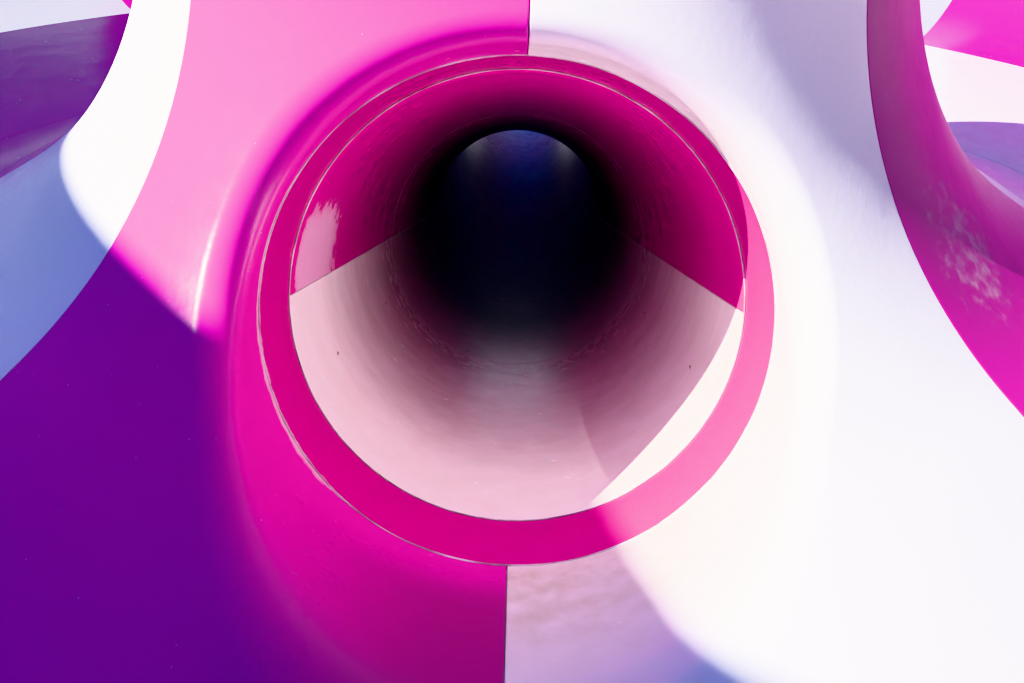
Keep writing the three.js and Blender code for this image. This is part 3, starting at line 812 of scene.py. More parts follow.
def seam_flanges(builder: MeshBuilder, azimuth: Array, face: Array, inward: Array, size: tuple[float, float]) -> None:
    """Adds the flanges along a panel's two seams, where its face starts and ends across."""
    for row, turn in ((0, 1), (-1, -1)):
        flange(builder, face[row], inward[row], turn * tangent(azimuth[row]), size)


def around_tube(builder: MeshBuilder, corners: Sequence[tuple[float, float]], start: float, span: float,
                steps: int) -> None:
    """Adds a band round the tube's axis.

    Args:
        builder: takes the band.
        corners: corners of its section, each a radius and a distance from the mouth.
        start: angle at which it starts.
        span: angle that it covers; a whole turn closes it.
        steps: steps along the span.
    """
    angle = np.linspace(start, start + span, steps + 1)
    radius = np.array([corner[0] for corner in corners])
    d = np.array([corner[1] for corner in corners])
    rings = ROUTE.around(d[None], angle[:, None], radius[None])
    closed = abs(span - TURN) < 1e-6
    builder.stack(rings[:-1] if closed else rings, closed)


# The exit cone


@dataclass
class ExitCone:
    """The cone at the bowl's middle: eight laminate panels, two of them drawn into the tube's mouth."""

    finishes: Finishes
    panels: int = 8
    tube_radius: float = 0.750
    lip_bottom: float = 0.450
    lip_top: float = 0.085
    stub_steps: int = 9
    lip_steps: int = 24
    run_steps: int = 44
    flange_size: tuple[float, float] = (0.070, 0.010)
    seam: float = 0.0008
    rows: int = 60
    columns: int = 26
    foot_near: tuple[float, ...] = (0, 2e-4, 5e-4, 1e-3, 1.8e-3, 3e-3, 6e-3, 0.012)  # azimuths by the lower seam
    neck_near: tuple[float, ...] = (0.03, 0.016, 0.008, 0.0045, 0.0025, 0.0012, 5e-4, 0)  # and by the upper one
    depth_range: tuple[float, float] = (-3.5, 1.8)  # where rays along the tube's axis look for the face
    lip_eases: tuple[float, float] = (-90, -10)  # angles over which the lip tightens, in degrees from +X
    probe: float = 0.001  # step that measures the climb of the face
    rim_band: float = 0.016
    deepest_drop: float = 0.009
    flange_clear: float = 0.03  # length by the tube's joint without a seam flange
    shade_painted_panel: int = 1  # the magenta panel on the right, darkened with painted shade
    rubbed: tuple[float, float, float] = (1.42, -0.96, 0.88)  # middle of the rubbed place on it
    rub: float = 0.34  # strength of the rubbing there
    painted_darkening: float = 0.46  # strength of the painted shade on that panel, which faces away from the key

    def build(self) -> None:
        """Builds the six plain panels and the two front ones."""
        for k in range(1, self.panels - 1):
            slot = Slot.MAGENTA if k % 2 else Slot.WHITE
            name = f"cone_panel_{k:02d}"
            piece = self.plain_panel(k).build(f"{name}_laminate", self.finishes.gelcoat(slot))
            dress(piece, slot, name)
        for side, slot, name in ((1, Slot.WHITE, "cone_front_right"), (-1, Slot.MAGENTA, "cone_front_left")):
            piece = self.front_panel(side).build(f"{name}_laminate", self.finishes.gelcoat(slot))
            dress(piece, slot, name)

    def plain_panel(self, k: int) -> MeshBuilder:
        """One plain panel with its two seam flanges.

        Args:
            k: number of the panel, from the middle of the mouth towards +X.

        Returns:
            The panel.
        """
        builder = MeshBuilder()
        start = k * TURN / self.panels
        s = eased_stations(CONE.length, self.rows)
        _, r, _ = CONE.at(s)
        azimuth = across_panel(r, TURN / self.panels, self.seam, self.columns)
        points, normals = CONE.points(start + azimuth, np.broadcast_to(s, azimuth.shape))
        drop = panel_drop(azimuth, r, s)
        streaks = 0.25 * smooth_step(points[..., 2], 0.3, 0.0) + 0 * drop
        away = np.linalg.norm((points - np.array(self.rubbed)) * [1.0, 1.0, 0.8], axis=-1)
        wear = self.rub * smooth_step(away, 0.46, 0.05)
        # Painted shade: the magenta panel on the right is darkened broadly around the rubbed place, where it faces
        # away from the key.
        painted_darkening = (self.painted_darkening if k == self.shade_painted_panel else 0) * smooth_step(away, 1.9, 0.8)
        face, back = points - normals * drop[..., None], points - normals * SHELL
        builder.shell(face, back, stain=streaks, wear=wear, grime=painted_darkening)
        seam_flanges(builder, start + azimuth, points, -normals, self.flange_size)
        return builder

    def ray_point(self, theta: Array, out: Array, up: Array) -> Array:
        """Places given by lines along the tube's axis.

        Args:
            theta: angles round the mouth, from +X towards the top.
            out: distances from the axis.
            up: distances along it, against the flow.

        Returns:
            The points.
        """
        sin, cos = math.sin(ROUTE.slope), math.cos(ROUTE.slope)
        rise = out * np.sin(theta)
        x = out * np.cos(theta)
        y = ROUTE.mouth_y - up * cos + rise * sin
        z = ROUTE.mouth_z + up * sin + rise * cos
        return np.stack([x, y, z], -1)

    def ray_of(self, points: Array) -> tuple[Array, Array]:
        """Lines along the tube's axis on which points lie.

        Args:
            points: the points.

        Returns:
            Their angles round the mouth and their distances from the axis.
        """
        sin, cos = math.sin(ROUTE.slope), math.cos(ROUTE.slope)
        y, z = points[..., 1] - ROUTE.mouth_y, points[..., 2] - ROUTE.mouth_z
        rise = y * sin + z * cos
        return np.arctan2(rise, points[..., 0]), np.hypot(rise, points[..., 0])

    def face_height(self, theta: Array, out: Array) -> Array:
        """Where lines along the tube's axis meet the cone's face, found by halving.

        Args:
            theta: angles of the lines round the mouth.
            out: their distances from the axis.

        Returns:
            The distance along each line, against the flow.
        """
        low, high = (np.full(np.shape(out), end) for end in self.depth_range)
        for _ in range(40):
            middle = (low + high) / 2
            p = self.ray_point(theta, out, middle)
            over = p[..., 2] > CONE.neck_top + 0.9
            outside = (np.hypot(p[..., 0], p[..., 1]) > CONE.radius_at(p[..., 2])) | over
            low, high = np.where(outside, low, middle), np.where(outside, middle, high)
        return (low + high) / 2

    def edge(self) -> tuple[Array, Array]:
        """The rim of a front panel, from the lower seam round by the far side to the upper seam.

        Returns:
            Azimuths and meridian distances of its points.
        """
        span = TURN / self.panels
        foot = np.concatenate([self.foot_near, np.linspace(0.024, span, 44)[:-1]])
        side = np.linspace(0, CONE.length, 110)
        top = np.concatenate([np.linspace(span, 0.05, 26)[1:], self.neck_near])
        azimuth = np.concatenate([foot, np.full(len(side), span), top])
        s = np.concatenate([np.zeros(len(foot)), side, np.full(len(top), CONE.length)])
        return azimuth, s

    @staticmethod
    def mouth_angles(rim_theta: Array) -> Array:
        """Angles at which the lines to the rim leave the mouth.

        Args:
            rim_theta: angles of the rim's points.

        Returns:
            Angles that always rise, from the mouth's bottom to its top.
        """
        steps = np.maximum(np.diff(rim_theta), 0.15 * math.pi / len(rim_theta))
        inner = rim_theta[0] + np.concatenate([[0.0], np.cumsum(steps)])
        return np.interp(inner, (inner[0], inner[-1]), (rim_theta[0], rim_theta[-1]))

    def front_face(self) -> tuple[Array, Array]:
        """The face of the right front panel as a grid: rays round the mouth by steps along each ray.

        Returns:
            The points, and the distance along each ray from the mouth's joint.
        """
        azimuth, s = self.edge()
        rim, _ = CONE.points(azimuth, s)
        rim_theta, reach = self.ray_of(rim)
        theta = self.mouth_angles(rim_theta)
        radius = lerp(self.lip_bottom, self.lip_top, smooth_step(np.degrees(theta), *self.lip_eases))
        landing, turn = self.tube_radius + radius, np.zeros(len(theta))
        for _ in range(14):
            climb = self.face_height(theta, landing + self.probe) - self.face_height(theta, landing - self.probe)
            turn = np.arctan2(2 * self.probe, climb)
            landing = self.tube_radius + radius * (1 - np.cos(turn))
        foot = self.face_height(theta, landing) - radius * np.sin(turn)

        near = np.array(EDGE_STATIONS)[None] + 0 * foot[:, None]
        share = np.linspace(0, 1, self.stub_steps + 1)[None, 1:-1]
        stub_up = np.concatenate([near, near[:, -1:] + share * (foot[:, None] - near[:, -1:])], 1)
        stub = np.stack([np.full(stub_up.shape, self.tube_radius), stub_up], -1)
        turns = np.linspace(0, 1, self.lip_steps + 1)[None, :-1] * turn[:, None]
        lip_out = self.tube_radius + radius[:, None] * (1 - np.cos(turns))
        lip = np.stack([lip_out, foot[:, None] + radius[:, None] * np.sin(turns)], -1)
        share = np.linspace(0, 1, self.run_steps + 1)[None, :-1] ** 1.2
        last = np.array(EDGE_STATIONS)[::-1][None] * 1.3
        inner = lerp(landing[:, None], reach[:, None] - self.rim_band, share)
        out = np.concatenate([inner, reach[:, None] - last], 1)
        drift = smooth_step(out, landing[:, None], reach[:, None])
        wide = lerp(theta[:, None], rim_theta[:, None], drift)
        run = np.stack([out, self.face_height(wide, out)], -1)
        flat = np.concatenate([stub, lip, run], 1)
        angles = np.concatenate([np.broadcast_to(theta[:, None], flat.shape[:2])[:, : -out.shape[1]], wide], 1)
        points = self.ray_point(angles, flat[..., 0], flat[..., 1])
        points[:, -1] = rim
        steps = np.linalg.norm(np.diff(points, axis=1), axis=-1)
        travelled = np.concatenate([np.zeros((len(theta), 1)), np.cumsum(steps, 1)], 1)
        return points, travelled

    def front_panel(self, side: int) -> MeshBuilder:
        """One of the two panels that are drawn into the mouth.

        Args:
            side: 1 for the right one, -1 for the left one.

        Returns:
            The panel.
        """
        builder = MeshBuilder()
        points, travelled = self.front_face()
        normals = unit(np.cross(np.gradient(points, axis=1), np.gradient(points, axis=0)))
        normals[0, :, 0] = normals[-1, :, 0] = 0
        normals = unit(normals)
        r = np.hypot(points[..., 0], points[..., 1])
        to_centre = points[..., 0]
        to_side = np.maximum(r * np.sin(TURN / self.panels - np.arctan2(points[..., 0], -points[..., 1])), 0)
        to_foot = np.maximum(CONE.foot_radius - r, 0)
        drop = sum(edge_drop(e) for e in (to_centre, to_side, to_foot, travelled))
        points[..., 0] += self.seam
        front = points - normals * np.minimum(drop, self.deepest_drop)[..., None]
        back = points - normals * SHELL
        wear, stain, painted_darkening = self.weathering(points, travelled, side)
        flip = np.array([side, 1, 1])
        builder.shell(front * flip, back * flip, wear=wear, stain=stain, grime=painted_darkening)
        for row in (0, -1):
            kept = travelled[row] > self.flange_clear
            edge, inward, away = points[row][kept] * flip, -normals[row][kept] * flip, np.array([side, 0, 0])
            flange(builder, edge, inward, away, self.flange_size)
        return builder

    def weathering(self, points: Array, travelled: Array, side: int) -> tuple[Array, Array, Array]:
        """How a front panel is worn along the joint and stained under the mouth; the left one also gets painted shade
        below the mouth.

        Args:
            points: points of the right panel's face.
            travelled: distance of each from the joint.
            side: 1 for the right panel, -1 for the left one.

        Returns:
            Wear, stain and dull film at each point.
        """
        degrees = np.degrees(self.ray_of(points)[0])
        joint = 0.8 * smooth_step(travelled, 0.020, 0.004)
        painted_darkening = 0 * degrees
        if side < 0:
            wear = joint * smooth_step(degrees, 40, 20) * smooth_step(degrees, -60, -35)
            stain = 0.15 * smooth_step(travelled, 0.5, 0.0) * smooth_step(degrees, -50, -85)
            # Painted shade: the left panel darkens below the mouth, away from the joint.
            painted_darkening = 0.52 * smooth_step(degrees, -35, -80) * smooth_step(travelled, 0.04, 0.30)
        else:
            wear = 0.35 * joint * smooth_step(degrees, 0, 60)
            below = smooth_step(degrees, -25, -75)
            stain = 0.85 * below * smooth_step(travelled, 0.75, 0.12) * smooth_step(travelled, -0.05, 0.05)
        return wear, stain, painted_darkening


# Mouth ring and exit tube


@dataclass
class ExitTube:
    """The mouth ring and the four sections of the tube, each of an upper and a lower half."""

    finishes: Finishes
    ring_radius: float = 0.750
    radius: float = 0.744
    flange_size: tuple[float, float] = (0.070, 0.010)
    lead_edge: float = 0.009
    angles: int = 64
    step: float = 0.12
    seam: float = 0.0008
    ring_gap: float = 0.0005

    def build(self) -> None:
        """Builds the ring and the eight half sections."""
        piece = self.mouth_ring().build("mouth_ring_laminate", self.finishes.wet_shaded_magenta)
        dress(piece, Slot.MAGENTA, "mouth_ring")
        start = ROUTE.ring_length
        lengths = (ROUTE.section, ROUTE.section, ROUTE.bend_length, ROUTE.exit_run)
        for name, length in zip(("tube_1", "tube_2", "tube_bend", "tube_exit"), lengths):
            for half, slot in (("upper", Slot.MAGENTA), ("lower", Slot.WHITE)):
                builder = self.half_section(start, length, half == "upper", name == "tube_1")
                node = f"{name}_{half}"
                # The upper halves take the darker wet gelcoat, whose deeper colour paints shade inside the tube.
                finish = self.finishes.wet_shaded_magenta if half == "upper" else self.finishes.white
                dress(builder.build(f"{node}_laminate", finish), slot, node)
            start += length

    def mouth_ring(self) -> MeshBuilder:
        """The all-magenta ring between the lip of the cone and the first joint of the tube.

        Returns:
            The ring with its end flange.
        """
        builder = MeshBuilder()
        length = ROUTE.ring_length
        d = eased_stations(length - 2 * self.ring_gap, 10) + self.ring_gap
        angle = np.linspace(0, TURN, 2 * self.angles + 1)
        drop = edge_drop(np.minimum(d, length - d))
        inside = ROUTE.around(d[None], angle[:, None], self.ring_radius + drop[None])
        outside = ROUTE.around(d[None], angle[:, None], self.ring_radius + SHELL)
        degrees = np.degrees(angle)[:, None]
        left = smooth_step(np.abs(degrees - 190), 60, 20)
        wear = 0.8 * left * smooth_step(d[None], 0.018, 0.004)
        # Painted shade: the ring darkens towards its far end, deeper in the mouth.
        grime = 0.16 * smooth_step(d[None], 0.05, 0.36) + 0 * wear
        rings = np.concatenate([inside[:-1], outside[:-1, ::-1]], 1)
        faces = {name: np.concatenate([values[:-1], 0 * values[:-1]], 1)
                 for name, values in (("wear", wear), ("grime", grime))}
        builder.stack(rings, True, **faces)
        low, high = self.ring_radius + SHELL, self.ring_radius + self.flange_size[0]
        near = length - self.flange_size[1]
        around_tube(builder, [(low, near), (low, length), (high, length), (high, near)], 0.0, TURN, 2 * self.angles)
        return builder

    def half_section(self, start: float, length: float, upper: bool, leads: bool) -> MeshBuilder:
        """One half of a tube section with its seam flanges and end flanges.

        Args:
            start: distance of the section's start from the mouth.
            length: length along the axis.
            upper: True for the upper half.
            leads: True for the section whose edge stands proud of the mouth ring.

        Returns:
            The half section.
        """
        builder = MeshBuilder()
        lead = self.lead_edge if leads else EDGE_RADIUS
        stations = eased_stations(length - 2 * self.seam, max(8, round(length / self.step)))
        d = start + self.seam + stations
        girth = math.pi * self.radius
        around = eased_stations(girth - 2 * self.seam, self.angles)
        angle = (self.seam + around) / self.radius + (0 if upper else math.pi)
        across = np.minimum(around, around[::-1].max() - around)[:, None]
        along_start = edge_drop(stations, lead)[None]
        along_end = edge_drop(stations[-1] - stations)[None]
        drop = edge_drop(across) + along_start + along_end
        inside = ROUTE.around(d[None], angle[:, None], self.radius + drop)
        outside = ROUTE.around(d[None], angle[:, None], self.radius + SHELL + 0 * drop)
        wear, stain, grime = self.weathering(d, angle, upper, leads)
        builder.shell(inside, outside, wear=wear, stain=stain, grime=grime)
        depth, thickness = self.flange_size
        low, high = self.radius + SHELL, self.radius + depth
        first, last = d[0], d[-1]
        span = angle[-1] - angle[0]
        for a, b in ((first, first + thickness), (last - thickness, last)):
            around_tube(builder, [(low, a), (low, b), (high, b), (high, a)], angle[0], span, self.angles)
        for row, turn in ((0, 1), (-1, -1)):
            axis_slope, _ = ROUTE.axis(d)
            edge = ROUTE.around(d, angle[row], self.radius)
            outward = unit(ROUTE.around(d, angle[row], 1.0) - ROUTE.axis(d)[1])
            into = turn * np.stack(
                [-np.sin(angle[row]) + 0 * d, np.cos(angle[row]) * np.sin(axis_slope),
                 np.cos(angle[row]) * np.cos(axis_slope)], -1)
            flange(builder, edge, outward, into, self.flange_size)
        return builder

    def weathering(self, d: Array, angle: Array, upper: bool, leads: bool) -> tuple[Array, Array, Array]:
        """Limescale above the left seam of the first section, stains that grow deeper into the tube and are heavier
        on the lower halves, and painted shade deep in the tube.

        Args:
            d: distances from the mouth.
            angle: angles round the axis.
            upper: True for an upper half.
            leads: True for the first section.

        Returns:
            Wear, stain and painted shade, angles by distances.
        """
        degrees = np.degrees(angle)[:, None]
        far = d[None] - ROUTE.ring_length
        wear = np.zeros((len(angle), len(d)))
        if leads and upper:
            scale = smooth_step(far, 1.0, 0.4) * smooth_step(far, 0.0, 0.09)
            wear = 0.80 * smooth_step(degrees, 148, 170) * scale
        stain = (0.0 if upper else 0.25) + 0.35 * smooth_step(far, 0.2, 4.0) + 0 * wear
        # Painted shade: the tube darkens from about 1.8 m past the ring and lightens again near the exit end.
        grime = smooth_step(far, 1.8, 4.5) * smooth_step(far, 10.8, 8.6) + 0 * wear
        return wear, stain, grime


# The bowl


@dataclass
class Bowl:
    """Flat floor and rising wall, ten panels each, with bolted flanges behind."""

    finishes: Finishes
    panels: int = 10
    inner_radius: float = 3.5283
    floor_radius: float = 5.600
    wall_arc: float = 2.000
    wall_sweep: float = math.radians(72)
    upstand: float = 0.200
    flange_size: tuple[float, float] = (0.090, 0.010)
    seam: float = 0.0008
    columns: int = 24
    floor_rows: int = 16
    wall_rows: int = 36
    floor_gap: float = 0.0004

    @property
    def length(self) -> float:
        """Length of the wall from its foot to its rim."""
        return self.wall_arc * self.wall_sweep + self.upstand

    def build(self) -> None:
        """Builds the floor and wall panels."""
        span = TURN / self.panels
        for k in range(self.panels):
            floor_slot, wall_slot = (Slot.WHITE, Slot.MAGENTA) if k % 2 else (Slot.MAGENTA, Slot.WHITE)
            name = f"{k + 1:02d}"
            for kind, slot, builder in (
                ("floor_panel", floor_slot, self.floor_panel(k * span)),
                ("wall_panel", wall_slot, self.wall_panel(k * span)),
            ):
                piece = builder.build(f"{kind}_{name}_laminate", self.finishes.gelcoat(slot))
                dress(piece, slot, f"{kind}_{name}")

    def floor_panel(self, start: float) -> MeshBuilder:
        """One floor panel.

        Args:
            start: azimuth of its first seam.

        Returns:
            The panel with its flanges.
        """
        builder = MeshBuilder()
        length = self.floor_radius - self.inner_radius - self.floor_gap
        s = eased_stations(length, self.floor_rows)
        r = self.inner_radius + s
        azimuth = across_panel(r, TURN / self.panels, self.seam, self.columns)
        drop = panel_drop(azimuth, r, s)
        face = on_azimuth(start + azimuth, r[None], 0.0)
        builder.shell(face - UP * drop[..., None], face - UP * SHELL, stain=0.2 + 0 * drop)
        down = np.broadcast_to(-UP, face.shape)
        seam_flanges(builder, start + azimuth, face, down, self.flange_size)
        for column, turn in ((0, 1), (-1, -1)):
            outward = turn * radial(start + azimuth[:, column])
            flange(builder, face[:, column], -UP, outward, self.flange_size)
        return builder

    def wall(self, s: Array) -> tuple[Array, Array, Array]:
        """Places on the wall's upright section.

        Args:
            s: distances from the wall's foot.

        Returns:
            Slope, radius and height at each.
        """
        slope = np.minimum(s / self.wall_arc, self.wall_sweep)
        above = s - self.wall_arc * slope
        r = self.floor_radius + FIT + self.wall_arc * np.sin(slope) + above * np.cos(slope)
        z = self.wall_arc * (1 - np.cos(slope)) + above * np.sin(slope)
        return slope, r, z

    def wall_panel(self, start: float) -> MeshBuilder:
        """One wall panel.

        Args:
            start: azimuth of its first seam.

        Returns:
            The panel with its flanges.
        """
        builder = MeshBuilder()
        s = eased_stations(self.length, self.wall_rows)
        slope, r, z = self.wall(s)
        azimuth = across_panel(r, TURN / self.panels, self.seam, self.columns)
        outward = on_azimuth(start + azimuth, np.sin(slope)[None], -np.cos(slope)[None])
        climbing = on_azimuth(start + azimuth, np.cos(slope)[None], np.sin(slope)[None])
        face = on_azimuth(start + azimuth, r[None], z[None])
        drop = panel_drop(azimuth, r, s)
        tide = 0.45 * smooth_step(s, 1.5, 0.2)[None] + 0 * drop
        builder.shell(face + outward * drop[..., None], face + outward * SHELL, stain=tide)
        seam_flanges(builder, start + azimuth, face, outward, self.flange_size)
        for column, turn in ((-1, -1), (0, 1)):
            into = turn * climbing[:, column]
            flange(builder, face[:, column], outward[:, column], into, self.flange_size)
        return builder


@dataclass
class NeckLid:
    """The low domed lid on the neck of the cone, with a brim that drips clear of the neck."""

    finishes: Finishes
    overhang: float = 0.060
    rise: float = 0.180
    dome_radius: float = 1.136
    brim_edge: float = 0.006  # rounding of the brim
    sides: int = 96

    def build(self) -> None:
        """Builds the lid as one turned shell."""
        builder = MeshBuilder()
        low = CONE.neck_top + FIT
        brim = CONE.neck_radius + self.overhang
        t = np.linspace(0.02, math.pi / 2, 18)
        under = np.stack([self.dome_radius * np.sin(t), low + self.rise * np.cos(t)], -1)
        rounded = np.linspace(-math.pi / 2, math.pi / 2, 7)
        size = self.brim_edge
        edge = np.stack([brim - size + size * np.cos(rounded), low + size + size * np.sin(rounded)], -1)
        over = under[::-1] + [0.0, SHELL]
        profile = np.concatenate([under, edge, over])
        angle = np.linspace(0, TURN, self.sides, endpoint=False)
        rings = on_azimuth(angle[:, None], profile[None, :, 0], profile[None, :, 1])
        rows, corners = rings.shape[:2]
        grid = np.arange(rows * corners).reshape(rows, corners)
        grid = np.concatenate([grid, grid[:1]], 0)
        quads = np.stack([grid[:-1, :-1], grid[1:, :-1], grid[1:, 1:], grid[:-1, 1:]], -1).reshape(-1, 4)
        poles = np.array([[0, 0, low + self.rise], [0, 0, low + self.rise + SHELL]])
        points = np.concatenate([rings.reshape(-1, 3), poles])
        bottom, top = rows * corners, rows * corners + 1
        lower = np.stack([grid[1:, 0], grid[:-1, 0], np.full(rows, bottom)], -1)
        upper = np.stack([grid[:-1, -1], grid[1:, -1], np.full(rows, top)], -1)
        builder.add(points, [quads, lower, upper])
        dress(builder.build("neck_cap_laminate", self.finishes.white), Slot.WHITE, "neck_cap")


# Steelwork


def h_section(width: float, depth: float, flange_thickness: float, web: float) -> Array:
    """Corners of a rolled H section about its middle, with level flanges and an upright web.

    Args:
        width: width of the flanges.
        depth: whole depth.
        flange_thickness: thickness of a flange.
        web: thickness of the web.

    Returns:
        The corners in order, 12 by 2.
    """
    w, d, t = width / 2, depth / 2, web / 2
    inner = d - flange_thickness
    quarter = [(w, -d), (w, -inner), (t, -inner), (t, inner), (w, inner), (w, d)]
    return np.array(quarter + [(-x, z) for x, z in reversed(quarter)])


def rounded_square(width: float, radius: float, steps: int = 4) -> Array:
    """Outline of a square with rounded corners about its middle.

    Args:
        width: width across the flats.
        radius: radius of the corners.
        steps: steps round a corner.

    Returns:
        The points in order, n by 2.
    """
    angle = np.linspace(0, math.pi / 2, steps + 1)
    corner = width / 2 - radius + radius * np.stack([np.cos(angle), np.sin(angle)], -1)
    quarter_turn = np.array([[0.0, 1.0], [-1.0, 0.0]])
    corners = [corner]
    for _ in range(3):
        corners.append(corners[-1] @ quarter_turn)
    return np.concatenate(corners)


class BoltSites:
    """Collects the places of bolts and the directions that their heads point."""

    def __init__(self) -> None:
        """Starts empty."""
        self.places: list[Array] = []
        self.axes: list[Array] = []

    def add(self, places: Array, axes: Array) -> None:
        """Adds sites.

        Args:
            places: their middles in the bowl's frame, n by 3.
            axes: directions of the bolts, one for each or one for all.
        """
        places = np.atleast_2d(places)
        self.places.append(places)
        self.axes.append(np.broadcast_to(axes, places.shape))


@dataclass(frozen=True)
class Bolts:
    """Hexagon bolts with washers and nuts, one on each site, made by Geometry Nodes."""

    name: str
    thread: float
    grip: float
    spare_thread: float
    seed: int = 7

    def sizes(self) -> dict[str, float]:
        """Sizes in proportion to the thread, as on a standard bolt.

        Returns:
            A value for each of the tree's number inputs.
        """
        return {
            "Head radius": 0.90 * self.thread,
            "Head height": 0.65 * self.thread,
            "Washer radius": 1.05 * self.thread,
            "Washer height": 0.20 * self.thread,
            "Shank radius": 0.50 * self.thread,
            "Grip": self.grip,
            "Spare thread": self.spare_thread,
        }

    def tree(self) -> NodeTree:
        """Builds the tree: one bolt from drums, set on every site along the site's axis with a random turn.

        Returns:
            The tree, with an input for each of the bolt's sizes.
        """
        tree = bpy.data.node_groups.new(f"{self.name}_tree", "GeometryNodeTree")
        face = tree.interface
        face.new_socket("Sites", in_out="INPUT", socket_type="NodeSocketGeometry")
        for label in self.sizes():
            face.new_socket(label, in_out="INPUT", socket_type="NodeSocketFloat")
        face.new_socket("Steel", in_out="INPUT", socket_type="NodeSocketMaterial")
        face.new_socket("Bolts", in_out="OUTPUT", socket_type="NodeSocketGeometry")
        given = add_node(tree, "NodeGroupInput").outputs

        half_grip = add_node(tree, MATH, {0: given["Grip"], 1: 0.5}, operation="MULTIPLY")
        seat = add_node(tree, MATH, {0: half_grip, 1: given["Washer height"]}, operation="ADD")
        top = add_node(tree, MATH, {0: seat, 1: given["Head height"]}, operation="ADD")
        ends = {0: top, 1: 2.0, 2: given["Spare thread"]}
        shank = add_node(tree, MATH, ends, operation="MULTIPLY_ADD")
        sunk = add_node(tree, MATH, {0: given["Spare thread"], 1: -0.5}, operation="MULTIPLY")
        drums = [(8, "Shank", shank, sunk)]
        for side in (1.0, -1.0):
            for sides, part, rest in ((14, "Washer", half_grip), (6, "Head", seat)):
                height = given[f"{part} height"]
                at = add_node(tree, MATH, {0: height, 1: 0.5, 2: rest}, operation="MULTIPLY_ADD")
                middle = add_node(tree, MATH, {0: at, 1: side}, operation="MULTIPLY")
                drums.append((sides, part, height, middle))
        joined = add_node(tree, "GeometryNodeJoinGeometry")
        for sides, part, height, middle in drums:
            sizes = {"Vertices": sides, "Radius": given[f"{part} radius"], "Depth": height}
            drum = add_node(tree, "GeometryNodeMeshCylinder", sizes)
            place = add_node(tree, "ShaderNodeCombineXYZ", {2: middle})
            moved = add_node(tree, "GeometryNodeTransform", {"Geometry": drum, "Translation": place})
            tree.links.new(moved.outputs[0], joined.inputs[0])
        axis = add_node(tree, "GeometryNodeInputNamedAttribute", {"Name": "axis"}, data_type="FLOAT_VECTOR")
        aligned = add_node(tree, "FunctionNodeAlignRotationToVector", {"Vector": axis}, axis="Z")
        random = add_node(tree, "FunctionNodeRandomValue", {2: 0.0, 3: TURN / 6, 8: self.seed}, data_type="FLOAT")
        turn = add_node(tree, "FunctionNodeAxisAngleToRotation", {"Angle": random})
        turned = {0: aligned, 1: turn}
        rotation = add_node(tree, "FunctionNodeRotateRotation", turned, rotation_space="LOCAL")
        placed = {"Points": given["Sites"], "Instance": joined, "Rotation": rotation}
        instances = add_node(tree, "GeometryNodeInstanceOnPoints", placed)
        real = add_node(tree, "GeometryNodeRealizeInstances", {0: instances})
        finished = add_node(tree, "GeometryNodeSetMaterial", {"Geometry": real, "Material": given["Steel"]})
        add_node(tree, "NodeGroupOutput", {"Bolts": finished})
        return tree

    def build(self, sites: BoltSites, material: Material) -> None:
        """Sets a bolt on every site and keeps the result as a plain mesh.

        Args:
            sites: where the bolts go.
            material: their finish.
        """
        points = (np.concatenate(sites.places) + BOWL_ORIGIN).astype(np.float32)
        mesh = bpy.data.meshes.new(f"{self.name}_sites")
        mesh.vertices.add(len(points))
        mesh.vertices.foreach_set("co", points.ravel())
        axis = mesh.attributes.new("axis", "FLOAT_VECTOR", "POINT")
        axis.data.foreach_set("vector", np.concatenate(sites.axes).astype(np.float32).ravel())
        piece = bpy.data.objects.new(self.name, mesh)
        bpy.context.scene.collection.objects.link(piece)
        modifier = piece.modifiers.new("bolts", "NODES")
        modifier.node_group = self.tree()
        values = {**self.sizes(), "Steel": material}
        for item in modifier.node_group.interface.items_tree:
            if item.in_out == "INPUT" and item.name in values:
                modifier[item.identifier] = values[item.name]
        bpy.context.view_layer.update()
        evaluated = piece.evaluated_get(bpy.context.evaluated_depsgraph_get())
        result = bpy.data.meshes.new_from_object(evaluated)
        piece.modifiers.remove(modifier)
        piece.data = result
        dress(piece, Slot.STEEL)


